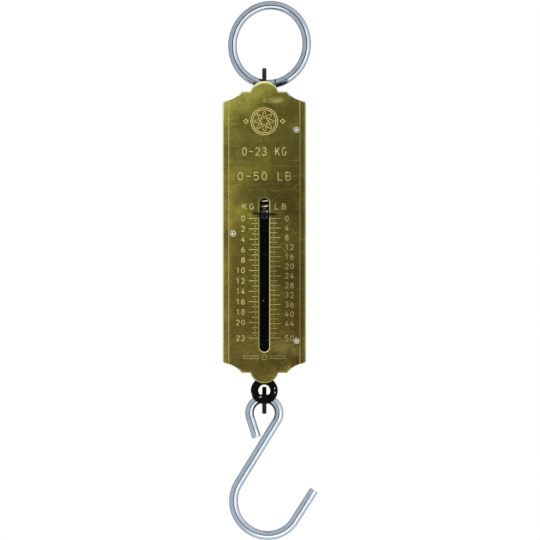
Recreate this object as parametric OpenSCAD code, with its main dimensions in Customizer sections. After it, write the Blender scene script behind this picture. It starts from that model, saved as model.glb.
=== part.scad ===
// Spring scale: a pocket balance with a brass face, a wire ring above and a wire hook below.
// Millimetres. +X is right and +Z is up as the face is read, and the face looks towards -Y.
// The origin is where the scale hangs: the inside of the ring's crown, above the load line.

/* [Ring] */
// Diameter of the ring's wire
ring_wire_d = 4.0; // [3:0.1:5]
// Half the ring's long axis, to the middle of the wire
ring_long = 18.1; // [15:0.1:26]
// Half the ring's short axis, to the middle of the wire
ring_short = 16.95; // [14:0.05:18]
// Bend radius at the ends of the long axis
ring_end_r = 16; // [9:0.1:16.5]
// Lean of the long axis from upright, clockwise from the front
ring_lean = 14; // [0:1:30]
// How far the ring's middle lies to the right of the load line
ring_shift = 2.4; // [0:0.1:4]
// Place of the butt joint, in degrees round from the bottom of the ring
ring_joint_angle = 11; // [8:1:60]
// Width of the butt joint
ring_joint_w = 0.25; // [0.1:0.05:0.6]

/* [Links] */
// Room to spare inside each link, on each side of the strip and the wire that it holds
link_room = 0.85; // [0.75:0.05:1.4]
// Width of the link's rim
link_rim = 2.4; // [1.6:0.1:3]
// Thickness of the link's flat steel
link_t = 2.0; // [1.4:0.1:2.4]
// How far the middle of the upper link lies above the ring's wire
ring_slack = 1.0; // [0.5:0.1:1.2]
// How far the hook's wire lies above the middle of the lower link
hook_slack = 0.9; // [0.5:0.1:1.2]
// How far the lower link hangs below its middle place in the draw bar's eye
eye_slack = 0.2; // [0:0.05:0.3]
// Radius on the edges of the links' flat steel
link_edge_r = 0.4; // [0.1:0.1:0.6]

/* [Anchor] */
// Outside radius of the anchor's eye
anchor_eye_r = 4.3; // [4:0.05:4.5]
// Radius of the hole in the anchor's eye
anchor_hole_r = 2.6; // [2.5:0.05:2.9]
// Width of the anchor's strip
anchor_w = 8.0; // [6:0.1:9]
// Chamfer on the edges of the holes in both strips' eyes
hole_sink = 0.35; // [0.1:0.05:0.5]
// Length of the anchor, from the middle of its eye to its lower end
anchor_len = 10.1; // [9.4:0.1:10.4]
// How far the anchor's rivet and the draw bar's pin lie from the ends of their strips
strip_hole_in = 2.0; // [1.6:0.1:2.4]

/* [Draw bar] */
// Width of the draw bar
bar_w = 8.0; // [6:0.1:9]
// Thickness of the strip that the draw bar and the anchor are cut from
bar_t = 1.6; // [1.2:0.1:2]
// Width of the tongue at the draw bar's upper end
tongue_w = 5.6; // [4:0.1:6]
// Length of the tongue
tongue_len = 7.2; // [6.6:0.1:7.4]
// Outside radius of the draw bar's eye
bar_eye_r = 6.2; // [5.6:0.1:6.4]
// Radius of the hole in the draw bar's eye
bar_hole_r = 2.7; // [2.6:0.1:3.4]
// How far the middle of that eye hangs below the plate's lower tip
bar_eye_drop = 3.35; // [2.5:0.05:8]
// How far the stop shoulders stand out past the draw bar on each side
stop_out = 1.2; // [0.6:0.1:1.6]
// Height of the stop shoulders
stop_h = 1.6; // [1:0.1:2]

/* [Face plate] */
// Width of the face plate
plate_w = 38; // [36:0.5:44]
// Height of the face plate between its upper and lower shoulders
plate_h = 128.6; // [122:0.2:140]
// Thickness of the face plate
plate_t = 0.9; // [0.6:0.1:1.4]
// Radius of the tab at each end
tab_r = 6.65; // [5.5:0.05:7.2]
// How far each tab stands out past its shoulder
tab_out = 4.8; // [3.6:0.1:6]
// Radius of the hollow cut out of each corner
notch_r = 11; // [9:0.1:12]
// How far the middle of that hollow lies outside the shoulder
notch_rise = 6.6; // [5.5:0.1:7.5]
// How far the middle of that hollow lies outside the plate's side
notch_out = 0.15; // [0:0.05:1]
// Radius of the plate's outer corners
corner_r = 1.4; // [0.8:0.1:2.4]
// How far the upper tab's middle lies below the anchor's eye
tab_drop = 2.25; // [1.8:0.05:3]

/* [Slot and scale] */
// Width of the slot
slot_w = 4.2; // [3.6:0.1:4.8]
// Width of the bevel round the slot
bevel_w = 0.55; // [0.2:0.05:0.7]
// Depth of that bevel
bevel_d = 0.45; // [0.2:0.05:0.5]
// Length of the slot, end to end
slot_len = 70; // [68:0.2:76]
// How far the slot's upper end lies above the plate's middle
slot_rise = 15.5; // [10:0.1:18]
// How far the slot's upper end lies above the zero line
slot_above_zero = 9.2; // [7:0.1:12]
// Length of the scale, from zero to full
scale_len = 54.7; // [50:0.1:56]
// Full load in kilograms
full_kg = 23; // [10:1:25]
// Full load in pounds
full_lb = 50; // [20:2:56]
// Where the ticks start, from the middle of the slot
tick_in = 2.8; // [2.7:0.05:3.2]
// Where the long ticks of the kilogram scale end
kg_long = 7.1; // [6.6:0.1:8]
// Where the medium ticks of the kilogram scale end
kg_medium = 5.6; // [5:0.1:6.4]
// Where the half-kilogram dots lie
kg_dot = 4.1; // [3.6:0.05:4.6]
// Where the long ticks of the pound scale end
lb_long = 7.5; // [6.6:0.1:8]
// Where the medium ticks of the pound scale end
lb_medium = 6.0; // [5:0.1:6.4]
// Where the odd-pound dots lie
lb_dot = 4.35; // [3.6:0.05:4.6]
// Width of an engraved line
line_w = 0.4; // [0.2:0.05:0.6]
// Width of an engraved dot
dot_d = 0.6; // [0.4:0.05:0.8]
// Depth of the engraving
line_d = 0.15; // [0.1:0.01:0.25]
// Where the border lines lie, from the plate's middle
border_x = 16.25; // [15.9:0.05:16.9]

/* [Case back] */
// Thickness of the case's pressed steel
sheet_t = 0.8; // [0.6:0.05:1]
// Clear space between the spring and the channel's round back
spring_room = 0.3; // [0.2:0.05:0.6]
// Inside bend radius where the channel meets its flanges
bend_r = 0.8; // [0.4:0.1:1.4]
// Width over the flanges
flange_w = 34; // [33:0.2:35]
// How far the channel's ends lie inside the plate's shoulders
channel_in = 2.9; // [2:0.1:4]
// Thickness of the channel's end plates
end_t = 1.5; // [1:0.1:2]
// Clearance of the end plates in the channel
end_fit = 0.1; // [0.05:0.05:0.2]
// Clearance of the strips in the end plates' slots
strip_fit = 0.2; // [0.15:0.05:0.3]
// Width of the lugs that hold the end plates in the channel's walls
lug_w = 4; // [3:0.2:5]

/* [Fasteners] */
// Radius of the face rivets' heads
rivet_head_r = 1.4; // [1.1:0.1:1.8]
// Height of the face rivets' heads in front
rivet_head_h = 0.6; // [0.4:0.1:0.9]
// Height of the face rivets' heads behind
rivet_back_h = 0.4; // [0.3:0.1:0.7]
// Shank diameter of the face rivets
rivet_d = 1.8; // [1.4:0.1:2]
// How far the right rivets lie in from the flange's edge
rivet_in_right = 2.3; // [2:0.1:3.4]
// How far the left rivet lies in from the flange's edge
rivet_in_left = 2.6; // [2:0.1:3.4]
// Height of the upper right rivet above the plate's middle
rivet_up = 46.9; // [42:0.1:50]
// Drop of the lower right rivet below the plate's middle
rivet_down = 49.7; // [44:0.1:51]
// Drop of the left rivet below the plate's middle
rivet_left_down = 0.6; // [0:0.1:4]
// Diameter of the case pin
case_pin_d = 2.4; // [2:0.1:2.8]
// Diameter of the anchor rivet and of the draw bar's pin
pin_d = 1.8; // [1.4:0.1:2]
// Radial clearance of rivets and pins in their holes
pin_fit = 0.03; // [0.01:0.01:0.08]
// How far the case pin's heads stand out past its shank all round
pin_head_out = 1.0; // [0.6:0.1:1.4]
// Height of the case pin's heads
pin_head_h = 0.7; // [0.4:0.1:1]
// Chamfer on the case pin's heads
pin_head_chamfer = 0.5; // [0.2:0.1:0.6]
// Metal left between the case pin and the upper plug's core
pin_land = 1.0; // [0.6:0.1:1.6]

/* [Spring and plugs] */
// Diameter of the spring's wire
spring_wire_d = 1.8; // [1.6:0.05:1.9]
// Mean diameter of the spring's coils
coil_d = 12.4; // [11.8:0.1:12.8]
// Rise of the spring per turn
coil_pitch = 2.5; // [2.45:0.05:2.8]
// Where the spring's lower end lies, in degrees round from the right, seen from above
coil_start = 225; // [180:15:240]
// Height of the upper plug's collar
upper_collar_h = 8.8; // [8.6:0.1:9.6]
// Height of the lower plug's collar
lower_collar_h = 2.4; // [2.2:0.1:3.4]
// Height of each plug's core, which the spring is screwed on
core_h = 5.2; // [4.8:0.1:7]
// Clearance between the spring and the plugs' cores
core_fit = 0.1; // [0.05:0.05:0.3]
// Chamfer on the ends of the plugs' cores
core_chamfer = 0.8; // [0.4:0.1:1.2]
// Gap between each end of the spring and the collar it bears on
coil_seat = 0.1; // [0.05:0.05:0.3]
// Gap between the upper plug's collar and the end plate above it
plug_drop = 0.3; // [0.1:0.1:0.6]
// How far the lower plug's collar lies inside the spring's outside
collar_in = 0.4; // [0.2:0.1:0.8]
// Chamfer on the far edge of each collar
collar_chamfer = 0.6; // [0.3:0.1:0.8]
// Clearance of the strips in the plugs' slots
plug_slot_fit = 0.1; // [0.05:0.05:0.2]
// How far the pointer stands above the zero line with no load
pointer_rise = 2.0; // [0.5:0.1:2.6]

/* [Pointer] */
// Length of the pointer's bar
pointer_len = 10.6; // [9:0.1:12]
// Height of the pointer's bar
pointer_h = 0.75; // [0.5:0.05:1]
// Thickness of the pointer's bar
pointer_t = 0.8; // [0.5:0.05:1.2]
// Gap between the pointer's bar and the face plate
pointer_gap = 0.35; // [0.3:0.05:0.6]
// Width of the pointer's neck in the slot
neck_w = 2.6; // [2:0.1:3]
// How far the neck reaches below the pointer's bar
neck_drop = 1.0; // [0.8:0.1:1.2]
// Diameter of the peg that holds the pointer in the lower plug
peg_d = 1.2; // [1:0.1:1.4]
// Length of that peg
peg_len = 2.6; // [2:0.1:3.4]
// Tilt of the pointer's bar, its right end down
pointer_tilt = 2.5; // [0:0.5:3]

/* [Hook] */
// Diameter of the hook's wire
hook_wire_d = 4.1; // [3.4:0.1:4.2]
// Radius of the hook's small loop, to the middle of the wire
loop_r = 6.75; // [6.2:0.05:7.6]
// Slant of the loop's free leg from upright
leg_slant = 17.8; // [10:0.2:24]
// Length of the loop's free leg
leg_len = 9.6; // [7:0.1:10]
// Slant of the hook's shank from upright
shank_slant = 31.6; // [28:0.2:34]
// Length of the hook's straight shank
shank_len = 33.4; // [28:0.2:38]
// Radius of the big bend below the shank
bend_in_r = 15.75; // [13:0.05:18]
// Radius of the big bend below the tip
bend_out_r = 14.3; // [11:0.05:17]
// Slant of the hook's tip from upright
tip_slant = 32.6; // [24:0.2:38]
// Length of the hook's straight tip
tip_len = 16.9; // [12:0.1:20]
// Chamfer on the hook's ends
tip_chamfer = 0.3; // [0.1:0.05:0.6]

/* [Hidden] */
$fn = 48;
// Spare length by which a cutting shape passes what it cuts
eps = 0.5;
// Clear gap between pieces that move past each other
gap = 0.3;
// Room between the channel's round inside and the back of the face plate
plate_room = 0.1;
// Wire stretches overlap by this length, and every other one is thicker by this step, so they join
lap = 0.2;
lap_step = 0.02;

// Depths. The ring and the hook lie at y = 0, and the strips just in front of them.
case_y = -(bar_t / 2 + gap + max(ring_wire_d, hook_wire_d) / 2);
stack_t = bar_t + gap + max(ring_wire_d, hook_wire_d);
link_in_r = stack_t / 2 + link_room;
link_mid_r = link_in_r + link_rim / 2;
link_y = max(ring_wire_d, hook_wire_d) / 2 - stack_t / 2;
// Where a link's rim crosses a strip's eye, measured from the link's middle.
link_off_y = link_y - case_y;
cross_in = sqrt(pow(link_in_r, 2) - pow(link_off_y + bar_t / 2, 2));
cross_out = sqrt(pow(link_in_r + link_rim, 2) - pow(link_off_y - bar_t / 2, 2));
cross_mid = (cross_in + cross_out) / 2;
spring_out_r = coil_d / 2 + spring_wire_d / 2;
channel_r = spring_out_r + spring_room;
channel_out_r = channel_r + sheet_t;
plate_back_y = -(channel_r + plate_room);
plate_front_y = plate_back_y - plate_t;

// Heights, worked down from the ring.
ring_end_off = ring_long - ring_end_r;
ring_side_r = (pow(ring_end_off, 2) + pow(ring_short, 2) - pow(ring_end_r, 2))
    / (2 * (ring_short - ring_end_r));
ring_side_off = ring_side_r - ring_short;
ring_join_a = atan2(ring_side_off, ring_end_off);
ring_top_x = ring_shift + ring_end_off * sin(ring_lean);
ring_z = -ring_end_off * cos(ring_lean) - sqrt(pow(ring_end_r - ring_wire_d / 2, 2) - pow(ring_top_x, 2));
ring_low_x = ring_shift - ring_end_off * sin(ring_lean);
ring_low_z = ring_z - ring_end_off * cos(ring_lean);
ring_wire_z = ring_low_z - sqrt(pow(ring_end_r, 2) - pow(ring_low_x, 2));
top_link_z = ring_wire_z + ring_slack;
anchor_z = top_link_z - cross_mid;
upper_tab_z = anchor_z - tab_drop;
mid_z = upper_tab_z - (plate_h / 2 + tab_out - tab_r);
tab_z = upper_tab_z - mid_z;
channel_half = plate_h / 2 - channel_in;
bar_eye_z = mid_z - (plate_h / 2 + tab_out) - bar_eye_drop;
bottom_link_z = bar_eye_z - cross_mid - eye_slack;
hook_wire_z = bottom_link_z + hook_slack;
loop_z = hook_wire_z - loop_r;

rivet_x_right = flange_w / 2 - rivet_in_right;
rivet_x_left = flange_w / 2 - rivet_in_left;

// The scale and the pieces that read on it.
slot_top_z = mid_z + slot_rise;
zero_z = slot_top_z - slot_above_zero;
slot_bottom_z = slot_top_z - slot_len;
pointer_z = zero_z + pointer_rise;
lower_collar_z = pointer_z;
upper_collar_z = mid_z + channel_half - end_t - plug_drop;
upper_core_z = upper_collar_z - upper_collar_h;
anchor_end_z = anchor_z - anchor_len;
anchor_rivet_z = anchor_end_z + strip_hole_in;
case_pin_z = upper_core_z + case_pin_d / 2 + pin_land;
shoulder_z = lower_collar_z - lower_collar_h;
bar_pin_z = shoulder_z + tongue_len - strip_hole_in;
peg_z = pointer_z - pointer_h / 2 - neck_drop / 2;
lug_y = -lug_w;

// The spring between the plugs.
coil_r = coil_d / 2;
wire_r = spring_wire_d / 2;
steps_per_turn = 8;
wire_sides = 6;
core_r = coil_r * cos(180 / steps_per_turn) - wire_r - core_fit;
collar_r = spring_out_r;
spring_top_z = upper_core_z - wire_r - coil_seat;
spring_low_z = lower_collar_z + wire_r + coil_seat;
spring_h = spring_top_z - spring_low_z;
spring_steps = round(spring_h / coil_pitch * steps_per_turn);
real_pitch = spring_h * steps_per_turn / spring_steps;

// Lays a flat outline drawn in X and Z into place: front face at y, thickness t behind it.
module upright(y, t) {
    translate([0, y + t, 0]) rotate([90, 0, 0]) linear_extrude(t) children();
}

// Moves a piece from the case's own middle plane to its place.
module in_case() {
    translate([0, case_y, 0]) children();
}

// One bend of round wire in the X-Z plane: centre, bend radius, wire, first angle, sweep and lap.
module wire_bend(x, z, r, d, from, sweep, lap) {
    lap_a = lap / r * 180 / PI;
    translate([x, 0, z]) rotate([90, 0, 0]) rotate([0, 0, from - lap_a])
        rotate_extrude(angle = sweep + 2 * lap_a, $fn = 96) translate([r, 0]) circle(d = d, $fn = 32);
}

// One straight run of round wire in the X-Z plane, leaning from upright, with a chamfered far end
// and a lap before its start.
module wire_run(x, z, lean, len, d, chamfer, lap) {
    translate([x, 0, z]) rotate([0, lean, 0]) {
        translate([0, 0, -lap]) cylinder(d = d, h = len - chamfer + lap, $fn = 32);
        if (chamfer > 0)
            translate([0, 0, len - chamfer]) cylinder(d1 = d, d2 = d - 2 * chamfer, h = chamfer, $fn = 32);
    }
}

module ring() {
    joint_x = ring_low_x + ring_end_r * sin(ring_joint_angle);
    joint_z = ring_low_z - ring_end_r * cos(ring_joint_angle);
    color("silver") difference() {
        translate([ring_shift, 0, ring_z]) rotate([0, ring_lean, 0])
            for (turn = [0, 180]) rotate([0, turn, 0]) {
            wire_bend(0, ring_end_off, ring_end_r, ring_wire_d, 90 - ring_join_a, 2 * ring_join_a, lap);
            wire_bend(-ring_side_off, 0, ring_side_r, ring_wire_d + lap_step, ring_join_a - 90,
                180 - 2 * ring_join_a, 0);
        }
        translate([joint_x, 0, joint_z]) rotate([0, -ring_joint_angle, 0])
            cube([ring_joint_w, ring_wire_d + 2 * eps, ring_wire_d + 2 * eps], center = true);
    }
}

// A flat round link, seen edge-on from the front.
module link(z) {
    color([0.09, 0.09, 0.1]) translate([0, link_y, z]) rotate([0, 90, 0])
        rotate_extrude($fn = 96) translate([link_mid_r, 0]) rounded_bar(link_rim, link_t, link_edge_r);
}

// A flat section with rounded corners, drawn about its middle.
module rounded_bar(w, h, r) {
    square([w - 2 * r, h], center = true);
    square([w, h - 2 * r], center = true);
    for (x = [-1, 1], y = [-1, 1]) translate([x * (w / 2 - r), y * (h / 2 - r)]) circle(r = r, $fn = 24);
}

module top_link() {
    link(top_link_z);
}

module bottom_link() {
    link(bottom_link_z);
}

// Half of the face plate's outline above its middle, drawn with z = 0 at the plate's middle.
module plate_half() {
    notch_z = plate_h / 2 + notch_rise;
    notch_x = plate_w / 2 + notch_out;
    corner_x = plate_w / 2 - corner_r;
    corner_z = notch_z - sqrt(pow(notch_r + corner_r, 2) - pow(notch_x - corner_x, 2));
    lean = atan2(notch_x - corner_x, notch_z - corner_z);
    difference() {
        translate([-plate_w / 2, 0]) square([plate_w, plate_h / 2]);
        for (side = [-1, 1]) {
            translate([side * notch_x, notch_z]) circle(r = notch_r, $fn = 96);
            translate([side * corner_x, corner_z]) mirror([side < 0 ? 1 : 0, 0]) polygon([
                [0, 0], [2 * corner_r * tan(lean), 2 * corner_r],
                [2 * corner_r, 2 * corner_r], [2 * corner_r, 0]
            ]);
        }
    }
    for (side = [-1, 1]) translate([side * corner_x, corner_z]) circle(r = corner_r, $fn = 48);
    translate([0, tab_z]) circle(r = tab_r, $fn = 96);
}

module slot_outline(w) {
    half = w / 2;
    top = slot_top_z - slot_w / 2;
    bottom = slot_bottom_z + slot_w / 2;
    translate([-half, bottom]) square([w, top - bottom]);
    for (z = [top, bottom]) translate([0, z]) circle(d = w, $fn = 48);
}

// The sloped edge round the slot: a cone at each end and a wedge along each side.
module slot_bevel() {
    half = slot_w / 2;
    top = slot_top_z - half;
    bottom = slot_bottom_z + half;
    slope = bevel_w / bevel_d;
    for (z = [top, bottom]) translate([0, plate_front_y + bevel_d, z]) rotate([90, 0, 0])
        cylinder(r1 = half, r2 = half + slope * (bevel_d + line_d), h = bevel_d + line_d, $fn = 48);
    translate([0, 0, bottom]) linear_extrude(top - bottom) polygon([
        [-half, plate_front_y + bevel_d], [half, plate_front_y + bevel_d],
        [half + slope * (bevel_d + line_d), plate_front_y - line_d],
        [-half - slope * (bevel_d + line_d), plate_front_y - line_d]
    ]);
}

// An engraved line between two distances from the middle, to one side.
module tick(side, from, to, z) {
    left = side > 0 ? from : -to;
    translate([left, plate_front_y - eps, z - line_w / 2]) cube([to - from, eps + line_d, line_w]);
}

module dot(x, z) {
    translate([x, plate_front_y + line_d, z]) rotate([90, 0, 0])
        cylinder(d = dot_d, h = line_d + eps, $fn = 16);
}

module kilogram_scale() {
    for (kg = [0 : full_kg]) {
        z = zero_z - kg * scale_len / full_kg;
        long = kg == full_kg || (kg % 2 == 0 && kg < full_kg - 1);
        tick(-1, tick_in, long ? kg_long : kg_medium, z);
        if (kg < full_kg) dot(-kg_dot, z - scale_len / full_kg / 2);
    }
}

module pound_scale() {
    for (lb = [0 : 2 : full_lb]) {
        z = zero_z - lb * scale_len / full_lb;
        long = lb == full_lb || (lb % 4 == 0 && lb < full_lb - 2);
        tick(1, tick_in, long ? lb_long : lb_medium, z);
        if (lb < full_lb) dot(lb_dot, z - scale_len / full_lb);
    }
}

module border_lines() {
    for (side = [-1, 1])
        translate([side * border_x - line_w / 2, plate_front_y - eps, mid_z - plate_h / 2])
            cube([line_w, eps + line_d, plate_h]);
}

module rivet_places() {
    translate([rivet_x_right, 0, mid_z + rivet_up]) children();
    translate([rivet_x_right, 0, mid_z - rivet_down]) children();
    translate([-rivet_x_left, 0, mid_z - rivet_left_down]) children();
}

module rivet_holes() {
    rivet_places() translate([0, eps, 0]) rotate([90, 0, 0])
        cylinder(r = rivet_d / 2 + pin_fit, h = 2 * eps - plate_front_y);
}

module face_plate() {
    color([0.66, 0.58, 0.28]) in_case() difference() {
        translate([0, 0, mid_z]) upright(plate_front_y, plate_t) {
            plate_half();
            mirror([0, 1]) plate_half();
        }
        upright(plate_front_y - eps, plate_t + 2 * eps) slot_outline(slot_w);
        slot_bevel();
        rivet_holes();
        border_lines();
        kilogram_scale();
        pound_scale();
    }
}

// The pressed sheet seen from above: a round-backed channel whose walls bend out into two flanges.
module channel_section() {
    wall_front = plate_back_y + sheet_t + bend_r;
    difference() {
        union() {
            circle(r = channel_out_r, $fn = 96);
            translate([-channel_out_r, wall_front]) square([2 * channel_out_r, -wall_front]);
        }
        circle(r = channel_r, $fn = 96);
        translate([-channel_r, wall_front - eps]) square([2 * channel_r, eps - wall_front]);
        translate([-channel_out_r - eps, -2 * channel_out_r])
            square([2 * channel_out_r + 2 * eps, 2 * channel_out_r + wall_front]);
    }
    for (side = [0, 1]) mirror([side, 0]) {
        translate([channel_out_r + bend_r, wall_front]) intersection() {
            difference() {
                circle(r = bend_r + sheet_t);
                circle(r = bend_r);
            }
            translate([-bend_r - sheet_t, -bend_r - sheet_t]) square(bend_r + sheet_t);
        }
        translate([channel_out_r + bend_r, plate_back_y])
            square([flange_w / 2 - channel_out_r - bend_r, sheet_t]);
    }
}

// The space that the flanges may fill, which follows the plate's outline a little inside it.
module flange_outline() {
    inset = (plate_w - flange_w) / 2;
    half = plate_h / 2 - channel_in - inset;
    notch_z = plate_h / 2 + notch_rise;
    difference() {
        translate([-flange_w / 2, -half]) square([flange_w, 2 * half]);
        for (side = [-1, 1], end = [-1, 1])
            translate([side * (plate_w / 2 + notch_out), end * notch_z])
                circle(r = notch_r + inset, $fn = 96);
    }
    translate([-channel_out_r, -channel_half]) square([2 * channel_out_r, 2 * channel_half]);
}

module case_back() {
    color([0.12, 0.12, 0.13]) in_case() difference() {
        intersection() {
            translate([0, 0, mid_z - channel_half]) linear_extrude(2 * channel_half) channel_section();
            translate([0, 0, mid_z]) upright(plate_back_y - eps, 2 * channel_out_r + 2 * eps)
                flange_outline();
        }
        rivet_holes();
        translate([-channel_out_r - eps, 0, case_pin_z]) rotate([0, 90, 0])
            cylinder(r = case_pin_d / 2 + pin_fit, h = 2 * channel_out_r + 2 * eps);
        for (end = [-1, 1]) translate([0, lug_y, mid_z + end * (channel_half - end_t / 2 + eps / 2)])
            cube([2 * channel_out_r + 2 * eps, lug_w + 2 * end_fit, end_t + eps], center = true);
    }
}

module face_rivets() {
    color([0.8, 0.78, 0.7]) in_case() rivet_places() {
        rotate([90, 0, 0]) translate([0, 0, -plate_back_y - sheet_t])
            cylinder(d = rivet_d, h = plate_t + sheet_t);
        rivet_head(plate_front_y, rivet_head_h, 1);
        rivet_head(plate_back_y + sheet_t, rivet_back_h, -1);
    }
}

// A domed head on the face at y, standing out towards -Y for way = 1 and towards +Y for way = -1.
module rivet_head(y, h, way) {
    sphere_r = (pow(rivet_head_r, 2) + pow(h, 2)) / (2 * h);
    translate([0, y, 0]) rotate([way * 90, 0, 0]) intersection() {
        translate([0, 0, h - sphere_r]) sphere(r = sphere_r, $fn = 48);
        cylinder(r = rivet_head_r, h = h);
    }
}

// A plate that fills the channel's section, with a slot for a strip and two lugs through the walls.
module end_plate(z) {
    r = channel_r - end_fit;
    front = plate_back_y + end_fit;
    color([0.12, 0.12, 0.13]) in_case() difference() {
        translate([0, 0, z]) {
            cylinder(r = r, h = end_t, $fn = 96);
            translate([-r, front, 0]) cube([2 * r, -front, end_t]);
            translate([-channel_out_r, lug_y - lug_w / 2, 0]) cube([2 * channel_out_r, lug_w, end_t]);
        }
        translate([-bar_w / 2 - strip_fit, -bar_t / 2 - strip_fit, z - eps])
            cube([bar_w + 2 * strip_fit, bar_t + 2 * strip_fit, end_t + 2 * eps]);
    }
}

module top_end_plate() {
    end_plate(mid_z + channel_half - end_t);
}

module bottom_end_plate() {
    end_plate(mid_z - channel_half);
}

module top_anchor() {
    color([0.1, 0.1, 0.11]) in_case() difference() {
        upright(-bar_t / 2, bar_t) difference() {
            union() {
                translate([0, anchor_z]) circle(r = anchor_eye_r);
                translate([-anchor_w / 2, anchor_end_z]) square([anchor_w, anchor_len]);
            }
            translate([0, anchor_rivet_z]) circle(r = pin_d / 2 + pin_fit);
        }
        eye_hole(anchor_z, anchor_hole_r);
    }
}

// A hole through a strip's eye, with a chamfer on both faces.
module eye_hole(z, r) {
    depth = bar_t / 2 - hole_sink;
    translate([0, bar_t / 2 + eps, z]) rotate([90, 0, 0]) cylinder(r = r, h = bar_t + 2 * eps);
    for (face = [-1, 1]) translate([0, face * depth, z]) rotate([-90 * face, 0, 0])
        cylinder(r1 = r, r2 = r + hole_sink + eps, h = hole_sink + eps);
}

module upper_plug() {
    color([0.35, 0.34, 0.3]) in_case() difference() {
        translate([0, 0, upper_core_z]) turned_plug(collar_r, upper_collar_h);
        strip_slot(anchor_w, anchor_end_z - plug_slot_fit, upper_collar_z + eps);
        translate([0, collar_r + eps, anchor_rivet_z]) rotate([90, 0, 0])
            cylinder(r = pin_d / 2 + pin_fit, h = 2 * collar_r + 2 * eps);
        translate([-collar_r - eps, 0, case_pin_z]) rotate([0, 90, 0])
            cylinder(r = case_pin_d / 2 + pin_fit, h = 2 * collar_r + 2 * eps);
    }
}

// The slot in a plug that takes a strip of the given width, between two heights.
module strip_slot(w, low, high) {
    translate([-w / 2 - plug_slot_fit, -bar_t / 2 - plug_slot_fit, low])
        cube([w + 2 * plug_slot_fit, bar_t + 2 * plug_slot_fit, high - low]);
}

// A turned plug, drawn core down from its shoulder: a core that a spring end is screwed on, with a
// chamfered end, and a collar of radius r and height h, with a chamfer on its far edge.
module turned_plug(r, h) {
    rotate_extrude() polygon([
        [0, h], [r - collar_chamfer, h], [r, h - collar_chamfer], [r, 0], [core_r, 0],
        [core_r, core_chamfer - core_h], [core_r - core_chamfer, -core_h], [0, -core_h]
    ]);
}

module anchor_rivet() {
    color([0.5, 0.5, 0.5]) in_case() translate([0, collar_r, anchor_rivet_z]) rotate([90, 0, 0])
        cylinder(r = pin_d / 2, h = 2 * collar_r);
}

module case_pin() {
    head_r = case_pin_d / 2 + pin_head_out;
    color([0.5, 0.5, 0.5]) in_case() translate([0, 0, case_pin_z]) rotate([0, 90, 0]) {
        translate([0, 0, -channel_out_r]) cylinder(r = case_pin_d / 2, h = 2 * channel_out_r);
        for (side = [0, 1]) mirror([0, 0, side]) translate([0, 0, channel_out_r])
            cylinder(r1 = head_r, r2 = head_r - pin_head_chamfer, h = pin_head_h);
    }
}

// The spring is one unbroken tube: rings of points along a helix, joined by triangles.
function coil_angle(i) = coil_start + 360 * i / steps_per_turn;
function coil_point(i) = [
    coil_r * cos(coil_angle(i)),
    coil_r * sin(coil_angle(i)),
    spring_low_z + i * real_pitch / steps_per_turn
];
function coil_heading(i) = [-sin(coil_angle(i)), cos(coil_angle(i)), 0];
function spring_path() = concat(
    [coil_point(0) - spring_wire_d * coil_heading(0)],
    [for (i = [0 : spring_steps]) coil_point(i)],
    [coil_point(spring_steps) + spring_wire_d * coil_heading(spring_steps)]
);
function unit(v) = v / norm(v);
function ring_points(p, along, r, sides) =
    let (up = unit([0, 0, 1] - along[2] * along), across = cross(along, up))
    [for (k = [0 : sides - 1]) p + r * (cos(360 * k / sides) * across + sin(360 * k / sides) * up)];

module spring() {
    path = spring_path();
    last = len(path) - 1;
    rings = [for (i = [0 : last])
        let (along = unit(path[min(i + 1, last)] - path[max(i - 1, 0)]))
        ring_points(path[i], i == 0 ? coil_heading(0) : i == last ? coil_heading(spring_steps) : along,
            wire_r, wire_sides)];
    points = [for (ring = rings) each ring];
    sides = [for (i = [0 : last - 1], k = [0 : wire_sides - 1])
        let (a = i * wire_sides + k, b = i * wire_sides + (k + 1) % wire_sides)
        each [[a, b, b + wire_sides], [a, b + wire_sides, a + wire_sides]]];
    start_cap = [for (k = [1 : wire_sides - 2]) [0, k + 1, k]];
    end_first = last * wire_sides;
    end_cap = [for (k = [1 : wire_sides - 2]) [end_first, end_first + k, end_first + k + 1]];
    color([0.75, 0.75, 0.76]) in_case() polyhedron(points, concat(sides, start_cap, end_cap), convexity = 10);
}

// The least gap between one turn and the next, measured on the path's own points.
function turn_gap(path, from) = min([for (k = [-2 : 2])
    let (i = from + steps_per_turn + k)
    if (i < len(path)) norm(path[i] - path[from]) - spring_wire_d]);
coil_path = spring_path();
least_gap = min([for (i = [0 : len(coil_path) - steps_per_turn]) turn_gap(coil_path, i)]);
echo(spring_turns = spring_steps / steps_per_turn, spring_pitch = real_pitch, least_gap = least_gap);

module lower_plug() {
    rim_r = collar_r - collar_in;
    color([0.16, 0.17, 0.2]) in_case() difference() {
        translate([0, 0, lower_collar_z]) mirror([0, 0, 1])
            turned_plug(rim_r, lower_collar_h);
        strip_slot(tongue_w, shoulder_z - eps, shoulder_z + tongue_len + plug_slot_fit);
        translate([0, core_r + eps, bar_pin_z]) rotate([90, 0, 0])
            cylinder(r = pin_d / 2 + pin_fit, h = 2 * core_r + 2 * eps);
        translate([0, peg_len - rim_r + plug_slot_fit, peg_z]) rotate([90, 0, 0])
            cylinder(r = peg_d / 2 + pin_fit, h = peg_len + eps);
    }
}

module bar_pin() {
    color([0.5, 0.5, 0.5]) in_case() translate([0, core_r, bar_pin_z]) rotate([90, 0, 0])
        cylinder(r = pin_d / 2, h = 2 * core_r);
}

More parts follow.
